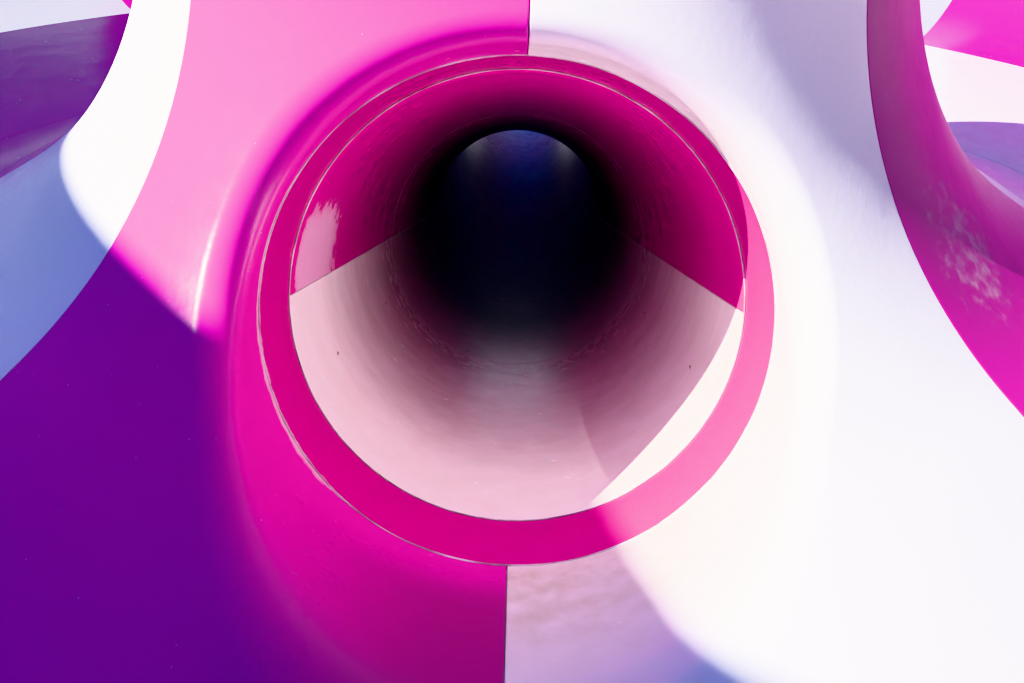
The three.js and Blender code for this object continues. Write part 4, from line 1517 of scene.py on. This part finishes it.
@dataclass
class Steelwork:
    """The galvanised frame: ring beams, ribs, radial beams, columns, saddles and posts."""

    finishes: Finishes
    bowl: Bowl
    anchors: BoltSites = field(default_factory=BoltSites)
    column_circle: float = 6.450
    column_radius: float = 0.110
    inner_column_radius: float = 0.085
    column_head: float = 0.030
    base_plate: float = 0.420
    plate_thickness: float = 0.025
    plate_corner: float = 0.012
    plate_bevel: float = 0.004
    anchor_offset: float = 0.150
    gusset_height: float = 0.190
    gusset_reach: float = 0.185
    gusset_nose: float = 0.035
    gusset_half: float = 0.005  # half its thickness
    ring_width: float = 0.240
    ring_depth: float = 0.200
    ring_top: float = -0.0903
    ring_flange: float = 0.015
    ring_web: float = 0.010
    kerb: tuple[float, float] = (0.085, 0.020)
    rib_width: float = 0.080
    rib_web: float = 0.008
    rib_root: float = 0.255  # depth by the ring
    rib_depth: float = 0.150
    rib_gap: float = 0.002  # between the wall's back and the rib
    rib_start: float = 0.130
    rib_end: float = 2.600
    plate: float = 0.010
    weld: float = 0.004  # room left at the edge of a stiffener
    beam_inset: float = 0.020
    end_plate_half: float = 0.075
    head_plate: tuple[float, float] = (0.110, 0.014)  # half its width, and its thickness
    brace_radius: float = 0.038
    brace_drop: float = 0.900
    brace_head: tuple[float, float] = (0.05, 0.02)  # out from the ring's middle, and below its underside
    brace_ends: tuple[float, float] = (0.05, 0.03)  # room left at its foot and its head
    brace_seat: tuple[float, float, float] = (0.06, 0.13, 0.07)  # plate above it: inwards, outwards, half its width
    brace_plate: float = 0.012
    brace_low_plate: tuple[tuple[float, float], ...] = ((-0.01, -0.10), (0.13, 0.02), (0.13, 0.12), (-0.01, 0.12))
    brace_high_plate: tuple[tuple[float, float], ...] = (
        (-0.09, 0.0), (0.09, 0.0), (0.09, -0.05), (-0.02, -0.12), (-0.09, -0.05))
    post: float = 0.150
    post_corner: float = 0.014
    post_x: float = 0.920
    cradles: tuple[float, float] = (-0.630, 0.630)
    head_beam: float = 1.900
    trestles: tuple[float, float, float] = (2.800, 6.500, 9.300)
    saddle_half: float = 0.990
    saddle_low: float = 0.960
    saddle_high: float = 0.330
    saddle_width: float = 0.080
    saddle_plate: float = 0.012
    saddle_web: float = 0.016
    saddle_gap: float = 0.002  # between the web and the tube's band
    saddle_inset: float = 0.003  # of a stiffener from the edges of the flanges
    stiffeners: tuple[float, ...] = (-0.66, -0.44, -0.22, 0.0, 0.22, 0.44, 0.66)
    saddle_bore: float = 0.7566
    outer_frames: int = 5
    inner_frames: int = 2
    spacing: float = math.radians(36)

    def build(self) -> None:
        """Builds every frame in the place of its CAD node, then the anchor bolts."""
        for k in range(self.outer_frames):
            self.finish(self.outer_frame(k * TURN / self.outer_frames), f"outer_frame_{k + 1}")
        for k in range(self.inner_frames):
            self.finish(self.inner_frame(k * TURN / self.inner_frames), f"inner_frame_{k + 1}")
        self.finish(self.centre_frame(), "centre_frame")
        for k, y in enumerate(self.trestles):
            self.finish(self.trestle(y), f"tube_trestle_{k + 1}")
        bolts = Bolts("anchor_bolts", thread=0.024, grip=0.0, spare_thread=0.022)
        bolts.build(self.anchors, self.finishes.bolts)

    def finish(self, builder: MeshBuilder, node: str) -> None:
        """Makes the piece that stands for a CAD frame."""
        dress(builder.build(f"{node}_steelwork", self.finishes.steel), Slot.STEEL, node)

    def columns(self, start: float, span: float) -> Array:
        """Azimuths of the columns along a stretch of frame."""
        return start + np.arange(self.spacing / 2, span, self.spacing)

    def ring(self, builder: MeshBuilder, radius: float, start: float, span: float) -> None:
        """Adds a stretch of curved H beam under the panels' flanges.

        Args:
            builder: takes the beam.
            radius: radius of its middle.
            start: azimuth at which it starts.
            span: angle that it covers.
        """
        gap = FIT / radius
        azimuth = np.linspace(start + gap, start + span - gap, round(math.degrees(span)) + 1)
        path = on_azimuth(azimuth, radius, self.ring_top - self.ring_depth / 2)
        section = h_section(self.ring_width, self.ring_depth, self.ring_flange, self.ring_web)
        builder.sweep(path, radial(azimuth), UP, section)

    @staticmethod
    def radial_box(builder: MeshBuilder, azimuth: float, radii: tuple[float, float], half: float,
                   heights: tuple[float, float]) -> None:
        """Adds a box along an azimuth: its radii, half its width and its heights."""
        low = (radii[0], -half, heights[0])
        builder.box(low, (radii[1], half, heights[1]), azimuth - math.pi / 2)

    def foot(self, builder: MeshBuilder, place: Array, outward: Array, reach: float) -> None:
        """Adds a base plate with gussets and notes its anchors.

        Args:
            builder: takes the plate.
            place: middle of the foot on the ground.
            outward: level direction that the plate is square to.
            reach: half the width of what stands on the plate.
        """
        aside = np.cross(UP, outward)
        half, t = self.base_plate / 2, self.plate_thickness
        square = rounded_square(self.base_plate, self.plate_corner, 3)
        path = place + np.array([[0.0], [t - self.plate_bevel], [t]]) * UP
        shrink = np.array([1.0, 1.0, 1 - self.plate_bevel / half])[:, None, None]
        builder.stack(path[:, None] + shrink * (square[None, :, :1] * outward + square[None, :, 1:] * aside))
        root = reach * 0.9
        section = np.array([[root, 0.0], [self.gusset_reach, 0.0], [self.gusset_reach, self.gusset_nose],
                            [root, self.gusset_height]])
        for along, across in ((outward, aside), (-outward, aside), (aside, outward), (-aside, outward)):
            ends = place + t * UP + np.array([[-self.gusset_half], [self.gusset_half]]) * across
            builder.sweep(ends, along, UP, section)
        for a in (-1, 1):
            for b in (-1, 1):
                offset = self.anchor_offset * (a * outward + b * aside)
                self.anchors.add(place + offset + t * UP, -UP)

    def column(self, builder: MeshBuilder, azimuth: float, radius: float, shaft: float, top: float) -> None:
        """Adds a round column with its foot.

        Args:
            builder: takes the column.
            azimuth: its azimuth.
            radius: its distance from the bowl's axis.
            shaft: radius of its shaft.
            top: height of its upper end.
        """
        self.foot(builder, on_azimuth(azimuth, radius, GROUND), radial(azimuth), shaft)
        low = on_azimuth(azimuth, radius, GROUND + self.plate_thickness)
        builder.tube(low, on_azimuth(azimuth, radius, top), shaft, 32)

    def web(self, builder: MeshBuilder, upper: Array, lower: Array, aside: Array, thickness: float) -> None:
        """Adds a plate between two edges.

        Args:
            builder: takes the plate.
            upper: points of its upper edge.
            lower: points of its lower edge.
            aside: level direction across it.
            thickness: its thickness.
        """
        half = aside * thickness / 2
        edges = np.stack([upper, lower])
        builder.shell(edges + half, edges - half)

    def rib(self, builder: MeshBuilder, azimuth: float) -> None:
        """Adds the curved rib behind the middle of a wall panel, deeper at its foot by the ring.

        Args:
            builder: takes the rib.
            azimuth: its azimuth.
        """
        s = np.linspace(self.rib_start, self.rib_end, 30)
        slope, r, z = self.bowl.wall(s)
        behind = on_azimuth(azimuth, np.sin(slope), -np.cos(slope))
        depth = lerp(self.rib_root, self.rib_depth, smooth_step(s, 0.15, 0.75))[:, None]
        upper = on_azimuth(azimuth, r, z) + behind * (SHELL + self.rib_gap)
        lower = upper + behind * depth
        aside = tangent(azimuth)
        self.web(builder, upper, lower, aside, self.rib_web)
        strip = np.array([[-1, 0], [1, 0], [1, 1], [-1, 1]]) * [self.rib_width / 2, self.plate]
        builder.sweep(upper, aside, behind, strip)
        builder.sweep(lower, aside, -behind, strip)

    def outer_frame(self, start: float) -> MeshBuilder:
        """One fifth of the outer frame: ring, ribs, radial beams, columns and their braces.

        Args:
            start: azimuth at which it starts.

        Returns:
            The frame.
        """
        builder = MeshBuilder()
        span = TURN / self.outer_frames
        outer, inner = self.bowl.floor_radius, CONE.foot_radius
        self.ring(builder, outer, start, span)
        low = self.ring_top - self.ring_depth
        for azimuth in self.columns(start, span):
            self.column(builder, azimuth, self.column_circle, self.column_radius, self.column_head)
            self.rib(builder, azimuth)
            radii = (inner + self.ring_width / 2 + FIT, outer - self.ring_width / 2)
            middle = self.ring_top - self.ring_depth / 2
            path = np.stack([on_azimuth(azimuth, r, middle) for r in radii])
            section = h_section(self.rib_width, self.ring_depth - 2 * self.beam_inset, self.plate, self.rib_web)
            builder.sweep(path, tangent(azimuth), UP, section)
            for r in (radii[0], radii[1] - self.plate):
                heights = (low + self.beam_inset / 2, self.ring_top - self.beam_inset / 2)
                self.radial_box(builder, azimuth, (r, r + self.plate), self.end_plate_half, heights)
            stiff = (outer - self.ring_width / 2 + self.weld, outer + self.ring_width / 2 - self.weld)
            heights = (low + self.ring_flange, self.ring_top - self.ring_flange)
            self.radial_box(builder, azimuth, stiff, self.plate / 2, heights)
            self.brace(builder, azimuth, outer, low)
        return builder

    def brace(self, builder: MeshBuilder, azimuth: float, ring: float, low: float) -> None:
        """Adds the brace from a column up to the underside of the ring, with a plate at each end.

        Args:
            builder: takes the brace.
            azimuth: azimuth of the column.
            ring: radius of the ring's middle.
            low: height of the ring's underside.
        """
        foot = on_azimuth(azimuth, self.column_circle - self.column_radius, low - self.brace_drop)
        head = on_azimuth(azimuth, ring + self.brace_head[0], low - self.brace_head[1])
        along = unit(head - foot)
        low_gap, high_gap = self.brace_ends
        builder.tube(foot + low_gap * along, head - high_gap * along, self.brace_radius, 20)
        aside, inward = tangent(azimuth), -radial(azimuth)
        thick = np.array([[-self.brace_plate / 2], [self.brace_plate / 2]]) * aside
        builder.sweep(foot + thick, inward, UP, np.array(self.brace_low_plate))
        inner, outer, half = self.brace_seat
        self.radial_box(builder, azimuth, (ring - inner, ring + outer), half, (low - self.brace_plate, low))
        under = on_azimuth(azimuth, ring + self.brace_head[0], low - 0.01)
        builder.sweep(under + thick, inward, UP, np.array(self.brace_high_plate))

    def inner_frame(self, start: float) -> MeshBuilder:
        """One half of the inner frame: ring, kerb under the foot of the cone, and columns.

        Args:
            start: azimuth at which it starts.

        Returns:
            The frame.
        """
        builder = MeshBuilder()
        span = TURN / self.inner_frames
        radius = CONE.foot_radius
        self.ring(builder, radius, start, span)
        gap = FIT / radius
        azimuth = np.linspace(start + gap, start + span - gap, 181)
        top, foot = -SHELL - 2 * FIT, self.ring_top - 10 * FIT
        inner, outer = self.kerb
        section = np.array([[-inner, foot], [-outer, foot], [-outer, top], [-inner, top]])
        builder.sweep(on_azimuth(azimuth, radius, 0.0), radial(azimuth), UP, section)
        low = self.ring_top - self.ring_depth
        for column in self.columns(start, span):
            self.column(builder, column, radius, self.inner_column_radius, low)
            half = self.ring_width / 2 - self.weld
            heights = (low + self.ring_flange, self.ring_top - self.ring_flange)
            self.radial_box(builder, column, (radius - half, radius + half), self.plate / 2, heights)
            across, thick = self.head_plate
            self.radial_box(builder, column, (radius - half, radius + half), across, (low - thick, low))
        return builder

    def square_bar(self, builder: MeshBuilder, start: Sequence[float], end: Sequence[float]) -> None:
        """Adds a square hollow section, level or upright.

        Args:
            builder: takes the bar.
            start: middle of its first end.
            end: middle of its other end.
        """
        ends = np.array([start, end], float)
        along = unit(ends[1] - ends[0])
        across = np.array([1.0, 0.0, 0.0]) if abs(along[0]) < 0.5 else np.array([0.0, 1.0, 0.0])
        builder.sweep(ends, across, np.cross(along, across), rounded_square(self.post, self.post_corner))

    def upright(self, builder: MeshBuilder, x: float, y: float, top: float) -> None:
        """Adds a post with its foot."""
        self.foot(builder, np.array([x, y, GROUND]), np.array([1.0, 0.0, 0.0]), self.post / 2)
        self.square_bar(builder, (x, y, GROUND + self.plate_thickness), (x, y, top))

    def saddle(self, builder: MeshBuilder, y: float) -> None:
        """Adds a saddle: a web plate cut to the tube, a band under the tube, flanges and stiffeners.

        Args:
            builder: takes the saddle.
            y: place of its middle in the bowl's frame.
        """
        d = ROUTE.distance_at(y)
        slope, centre = ROUTE.axis(d)
        middle = float(centre[2])
        low, high = middle - self.saddle_low, middle - self.saddle_high
        radius, half, t = self.saddle_bore, self.saddle_half, self.saddle_plate

        def top(x: Array) -> Array:
            """Height of the web's upper edge."""
            inside = np.sqrt(np.maximum(1 - (x / radius) ** 2, 0))
            return np.minimum(high, middle - radius * inside / math.cos(float(slope)))

        x = np.linspace(-half, half, 89)
        upper = np.stack([x, np.full_like(x, y), top(x) - self.saddle_gap], -1)
        lower = np.stack([x, np.full_like(x, y), np.full_like(x, low)], -1)
        self.web(builder, upper, lower, np.array([0.0, 1.0, 0.0]), self.saddle_web)
        reach = math.asin(self.saddle_high / radius)
        wide = self.saddle_width / 2
        corners = [(radius, d - wide), (radius, d + wide), (radius + t, d + wide), (radius + t, d - wide)]
        around_tube(builder, corners, math.pi + reach, math.pi - 2 * reach, 64)
        edge = math.sqrt(radius**2 - self.saddle_high**2)
        builder.box((-half, y - wide, low), (half, y + wide, low + t))
        for side in (-1, 1):
            a, b = sorted((side * edge, side * half))
            builder.box((a, y - wide, high - t), (b, y + wide, high))
            a, b = sorted((side * (half - t), side * half))
            builder.box((a, y - wide, low + t), (b, y + wide, high - t))
        for place in self.stiffeners:
            peak, thick = float(top(np.array(place))) - self.weld, self.plate / 2
            deep = wide - self.saddle_inset
            builder.box((place - thick, y - deep, low + t), (place + thick, y + deep, peak))

    def centre_frame(self) -> MeshBuilder:
        """The four posts inside the cone with their head beams and two saddles.

        Returns:
            The frame.
        """
        builder = MeshBuilder()
        inner = self.post / 2
        level = self.head_beam + inner
        for y in self.cradles:
            for x in (-self.post_x, self.post_x):
                self.upright(builder, x, y, CONE.neck_top)
            self.square_bar(builder, (-self.post_x + inner, y, level), (self.post_x - inner, y, level))
            self.saddle(builder, y)
        front, rear = self.cradles
        for x in (-self.post_x, self.post_x):
            self.square_bar(builder, (x, front + inner, level), (x, rear - inner, level))
        return builder

    def trestle(self, y: float) -> MeshBuilder:
        """One trestle under the tube: two posts and a saddle.

        Args:
            y: its place in the bowl's frame.

        Returns:
            The trestle.
        """
        builder = MeshBuilder()
        _, centre = ROUTE.axis(ROUTE.distance_at(y))
        for x in (-self.post_x, self.post_x):
            self.upright(builder, x, y, float(centre[2]) - self.saddle_high - 0.1)
        self.saddle(builder, y)
        return builder


# Joints


@dataclass
class Joints:
    """Bolts through the panels' flanges and beads of sealant in the joints that show."""

    finishes: Finishes
    bowl: Bowl
    pitch: float = 0.150
    cone_depth: float = 0.045
    bowl_depth: float = 0.056
    tube_depth: float = 0.043
    ring_bolts: int = 26
    bead_width: float = 0.0042
    bead_height: float = 0.0030
    beads: tuple[tuple[float, float, float], ...] = (  # distance from the mouth, radius of the face, share of size
        (0.0, 0.750, 1.0),
        (ROUTE.ring_length + 0.0004, 0.7475, 0.8),
        (ROUTE.ring_length + ROUTE.section, 0.7445, 0.7),
    )

    def build(self) -> None:
        """Builds the flange bolts and the sealant."""
        sites = BoltSites()
        self.cone_seams(sites)
        self.bowl_seams(sites)
        self.tube_seams(sites)
        bolts = Bolts("flange_bolts", thread=0.012, grip=0.021, spare_thread=0.012)
        bolts.build(sites, self.finishes.bolts)
        builder = MeshBuilder()
        for d, radius, size in self.beads:
            self.bead(builder, d, radius, size)
        dress(builder.build("joint_sealant", self.finishes.sealant), Slot.WHITE)

    def along(self, low: float, high: float) -> Array:
        """Stations at the bolts' pitch between two ends."""
        return np.linspace(low, high, max(2, round((high - low) / self.pitch)) + 1)

    def cone_seams(self, sites: BoltSites) -> None:
        """Adds the bolts behind the seams of the cone, apart from the two stretches that run into the mouth.

        Args:
            sites: takes their sites.
        """
        for k in range(1, ExitCone.panels):
            azimuth = k * TURN / ExitCone.panels
            s = self.along(0.15, CONE.length - 0.10)
            points, normals = CONE.points(np.full(s.shape, azimuth), s)
            sites.add(points - normals * self.cone_depth, tangent(azimuth))

    def bowl_seams(self, sites: BoltSites) -> None:
        """Adds the bolts under the seams of the floor and wall and through the joint between them.

        Args:
            sites: takes their sites.
        """
        for k in range(self.bowl.panels):
            azimuth = k * TURN / self.bowl.panels
            aside = tangent(azimuth)
            r = self.along(CONE.foot_radius + 0.25, self.bowl.floor_radius - 0.25)
            sites.add(on_azimuth(azimuth, r, -self.bowl_depth), aside)
            s = self.along(0.30, self.bowl.length - 0.10)
            slope, r, z = self.bowl.wall(s)
            behind = on_azimuth(azimuth, np.sin(slope), -np.cos(slope))
            sites.add(on_azimuth(azimuth, r, z) + behind * self.bowl_depth, aside)
            turns = azimuth + np.linspace(0, TURN / self.bowl.panels, 25)[1:-1]
            sites.add(on_azimuth(turns, self.bowl.floor_radius, -self.bowl_depth), radial(turns))

    def tube_seams(self, sites: BoltSites) -> None:
        """Adds the bolts along the tube's seams and round its joints.

        Args:
            sites: takes their sites.
        """
        start = ROUTE.ring_length
        radius = ExitTube.radius + self.tube_depth
        joints = []
        for length in (ROUTE.section, ROUTE.section, ROUTE.bend_length, ROUTE.exit_run):
            d = self.along(start + 0.12, start + length - 0.12)
            slope, _ = ROUTE.axis(d)
            rise = np.stack([0 * slope, np.sin(slope), np.cos(slope)], -1)
            for angle in (0.0, math.pi):
                sites.add(ROUTE.around(d, angle, radius), rise)
            joints.append(start)
            start += length
        for d in joints:
            angle = (np.arange(self.ring_bolts) + 0.5) * TURN / self.ring_bolts
            slope, _ = ROUTE.axis(d)
            axis = np.array([0.0, math.cos(float(slope)), -math.sin(float(slope))])
            sites.add(ROUTE.around(np.full(angle.shape, d), angle, radius), axis)

    def bead(self, builder: MeshBuilder, d: float, radius: float, size: float) -> None:
        """Adds a hand-tooled bead round a joint of the tube, a little uneven.

        Args:
            builder: takes the bead.
            d: distance of the joint from the mouth.
            radius: radius of the face that the bead lies on.
            size: share of the full width and height.
        """
        angle = np.linspace(0, TURN, 361)[:-1]
        uneven = 1 + 0.18 * np.sin(7 * angle + 0.6) + 0.12 * np.sin(17 * angle + 2.1)
        turns = np.linspace(0, TURN, 9)[:-1]
        across = size * self.bead_width * uneven[:, None] * np.cos(turns)
        deep = size * self.bead_height * uneven[:, None] * np.sin(turns)
        rings = ROUTE.around(d + across, angle[:, None], radius - deep)
        builder.stack(rings, True)


# Light, ground and camera


@dataclass(frozen=True)
class PhotoCamera:
    """The photograph's camera, from the fit to the cone's borders and the tube's joints."""

    place: tuple[float, float, float] = (-0.0136, -3.648, 2.2368)
    pitch: float = math.radians(33.48)
    roll: float = math.radians(2.26)
    yaw: float = math.radians(0.06)
    focal_pixels: float = 956.1
    width_pixels: int = 1024
    sensor: float = 36.0

    def build(self) -> None:
        """Makes the camera and sets it as the scene's."""
        sin, cos = math.sin, math.cos
        forward = Vector((sin(self.yaw) * cos(self.pitch), cos(self.yaw) * cos(self.pitch), -sin(self.pitch)))
        level = Vector((cos(self.yaw), -sin(self.yaw), 0.0))
        upright = level.cross(forward)
        right = cos(self.roll) * level + sin(self.roll) * upright
        up = -sin(self.roll) * level + cos(self.roll) * upright
        data = bpy.data.cameras.new("photo_camera")
        data.sensor_width = self.sensor
        data.lens = self.focal_pixels / self.width_pixels * self.sensor
        data.clip_start, data.clip_end = 0.05, 300.0
        camera = bpy.data.objects.new("photo_camera", data)
        turn = Matrix((right, up, -forward)).transposed()
        place = Vector(self.place) + Vector(BOWL_ORIGIN)
        camera.matrix_world = Matrix.Translation(place) @ turn.to_4x4()
        bpy.context.scene.collection.objects.link(camera)
        bpy.context.scene.camera = camera


@dataclass(frozen=True)
class Studio:
    """Pale floor and background, a warm key from the upper left and a cool fill from above.

    The key is two lamps of one direction. A far spot lights the cone, the bowl's floor and the tube, and its beam
    ends along a line, so that the near left of the cone lies in shade as in the photograph. A weaker sun lights the
    walls, the frame and the studio's floor. Two small lamps that aren't seen brighten the lip and the mouth's inside.
    """

    key_towards: tuple[float, float, float] = (-0.750, -0.280, 0.600)
    key_distance: float = 40.0
    key_aim: tuple[float, float] = (-1.34, 11.62)
    key_edge: tuple[float, float] = (0.70, -0.20)
    key_edge_blend: float = 0.003
    key_strength: float = 20.0
    sun_share: float = 0.30  # of the spot's strength
    sun_angle: float = math.radians(1.5)
    key_radius: float = 0.05
    key_colour: str = "#FFF8F0"
    left_colour: str = "#3A86FF"
    right_colour: str = "#9CA2B2"
    horizon_colour: str = "#1E2024"
    world_strength: float = 0.73
    backdrop_colour: str = "#E2E6EA"
    backdrop_strength: float = 0.95
    fill_place: tuple[float, float, float] = (0.80, -3.5, 2.7)
    fill_aim: tuple[float, float, float] = (-0.36, -1.05, 1.20)
    fill_power: float = 15.0
    fill_radius: float = 0.35
    fill_beam: float = math.radians(38)
    fill_blend: float = 0.7
    fill_colour: str = "#FFF4F2"
    mouth_place: tuple[float, float, float] = (0.15, -0.80, 0.62)
    mouth_power: float = 9.0
    shaded: tuple[str, ...] = ("cone", "floor_panel", "mouth", "tube", "joint")  # starts of the names it lights
    floor_half: float = 60.0
    floor_depth: float = 0.05
    floor_colour: str = "#E6E6E4"
    floor_roughness: float = 0.8

    def build(self) -> None:
        """Makes the floor, the world and the lamps."""
        scene = bpy.context.scene
        scene.view_settings.view_transform = "Khronos PBR Neutral"
        builder = MeshBuilder()
        half = self.floor_half
        builder.box((-half, -half, GROUND - self.floor_depth), (half, half, GROUND))
        floor = bpy.data.materials.new("pale_floor")
        floor.use_nodes = True
        shader = floor.node_tree.nodes["Principled BSDF"]
        shader.inputs["Base Color"].default_value = linear(self.floor_colour)
        shader.inputs["Roughness"].default_value = self.floor_roughness
        builder.build("studio_floor", floor)
        scene.world = self.world()
        self.keys()
        front = self.lamp("front_fill", "SPOT", Vector(self.fill_place), Vector(self.fill_aim))
        front.data.spot_size, front.data.spot_blend = self.fill_beam, self.fill_blend
        inside = self.lamp("mouth_fill", "POINT", Vector(self.mouth_place), Vector())
        for fill, power in ((front, self.fill_power), (inside, self.mouth_power)):
            fill.visible_glossy = fill.visible_camera = False
            fill.data.energy, fill.data.shadow_soft_size = power, self.fill_radius
            fill.data.color = linear(self.fill_colour)[:3]

    def world(self) -> World:
        """Makes the light from above, blue on the left, dark at the horizon, and a pale background for the camera.

        Returns:
            The world.
        """
        made = bpy.data.worlds.new("studio")
        made.use_nodes = True
        tree = made.node_tree
        tree.nodes.clear()
        towards = add_node(tree, "ShaderNodeTexCoord").outputs["Generated"]
        parts = add_node(tree, "ShaderNodeSeparateXYZ", {0: towards}).outputs
        rise = add_node(tree, "ShaderNodeMapRange", {0: parts[2], 1: 0.0, 2: 0.35})
        right = add_node(tree, "ShaderNodeMapRange", {0: parts[0], 1: -0.1, 2: 0.55})
        inputs = {0: right, 6: linear(self.left_colour), 7: linear(self.right_colour)}
        above = add_node(tree, "ShaderNodeMix", inputs, data_type="RGBA")
        inputs = {0: rise, 6: linear(self.horizon_colour), 7: above}
        sky = add_node(tree, "ShaderNodeMix", inputs, data_type="RGBA")
        light = add_node(tree, "ShaderNodeBackground", {0: sky, 1: self.world_strength})
        seen = {0: linear(self.backdrop_colour), 1: self.backdrop_strength}
        backdrop = add_node(tree, "ShaderNodeBackground", seen)
        by_camera = add_node(tree, "ShaderNodeLightPath").outputs["Is Camera Ray"]
        both = add_node(tree, "ShaderNodeMixShader", {0: by_camera, 1: light, 2: backdrop})
        add_node(tree, "ShaderNodeOutputWorld", {"Surface": both})
        return made

    def keys(self) -> None:
        """Makes the sun and the spot with the cut beam, each with the pieces that it lights."""
        towards = Vector(self.key_towards).normalized()
        level = Vector((0.0, 0.0, 1.0)).cross(towards).normalized()
        upright = towards.cross(level)
        place = towards * self.key_distance
        aim = level * self.key_aim[0] + upright * self.key_aim[1]
        edge = level * self.key_edge[0] + upright * self.key_edge[1]
        spot = self.lamp("key_spot", "SPOT", place, aim)
        spot.data.spot_size = 2 * (aim - place).angle(edge - place)
        spot.data.spot_blend = self.key_edge_blend
        spot.data.energy = self.key_strength * 4 * math.pi * self.key_distance**2
        spot.data.shadow_soft_size = self.key_radius
        sun = self.lamp("key_sun", "SUN", place, Vector())
        sun.data.energy, sun.data.angle = self.sun_share * self.key_strength, self.sun_angle
        for lamp, cut in ((spot, True), (sun, False)):
            lamp.data.color = linear(self.key_colour)[:3]
            receivers = bpy.data.collections.new(f"lit_by_{lamp.name}")
            for piece in bpy.context.scene.objects:
                if piece.type == "MESH" and piece.name.startswith(self.shaded) == cut:
                    receivers.objects.link(piece)
            lamp.light_linking.receiver_collection = receivers

    @staticmethod
    def lamp(name: str, kind: str, place: Vector, aim: Vector) -> Object:
        """Makes a lamp.

        Args:
            name: its name.
            kind: Blender's name of its type.
            place: where it is, in the bowl's frame.
            aim: the point that it is turned to.

        Returns:
            The lamp.
        """
        made = bpy.data.objects.new(name, bpy.data.lights.new(name, kind))
        made.rotation_mode = "QUATERNION"
        made.rotation_quaternion = (place - aim).to_track_quat("Z", "Y")
        made.location = place + Vector(BOWL_ORIGIN)
        bpy.context.scene.collection.objects.link(made)
        return made


def main() -> None:
    """Builds the sub-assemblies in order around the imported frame."""
    logging.basicConfig(level=logging.INFO, format="%(name)s %(message)s")
    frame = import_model()
    LOG.info("packed frame: %d nodes", len(frame["nodes"]))
    PhotoCamera().build()
    finishes = Finishes()
    ExitCone(finishes).build()
    ExitTube(finishes).build()
    bowl = Bowl(finishes)
    bowl.build()
    NeckLid(finishes).build()
    Steelwork(finishes, bowl).build()
    Joints(finishes, bowl).build()
    Studio().build()


if __name__ == "__main__":
    main()
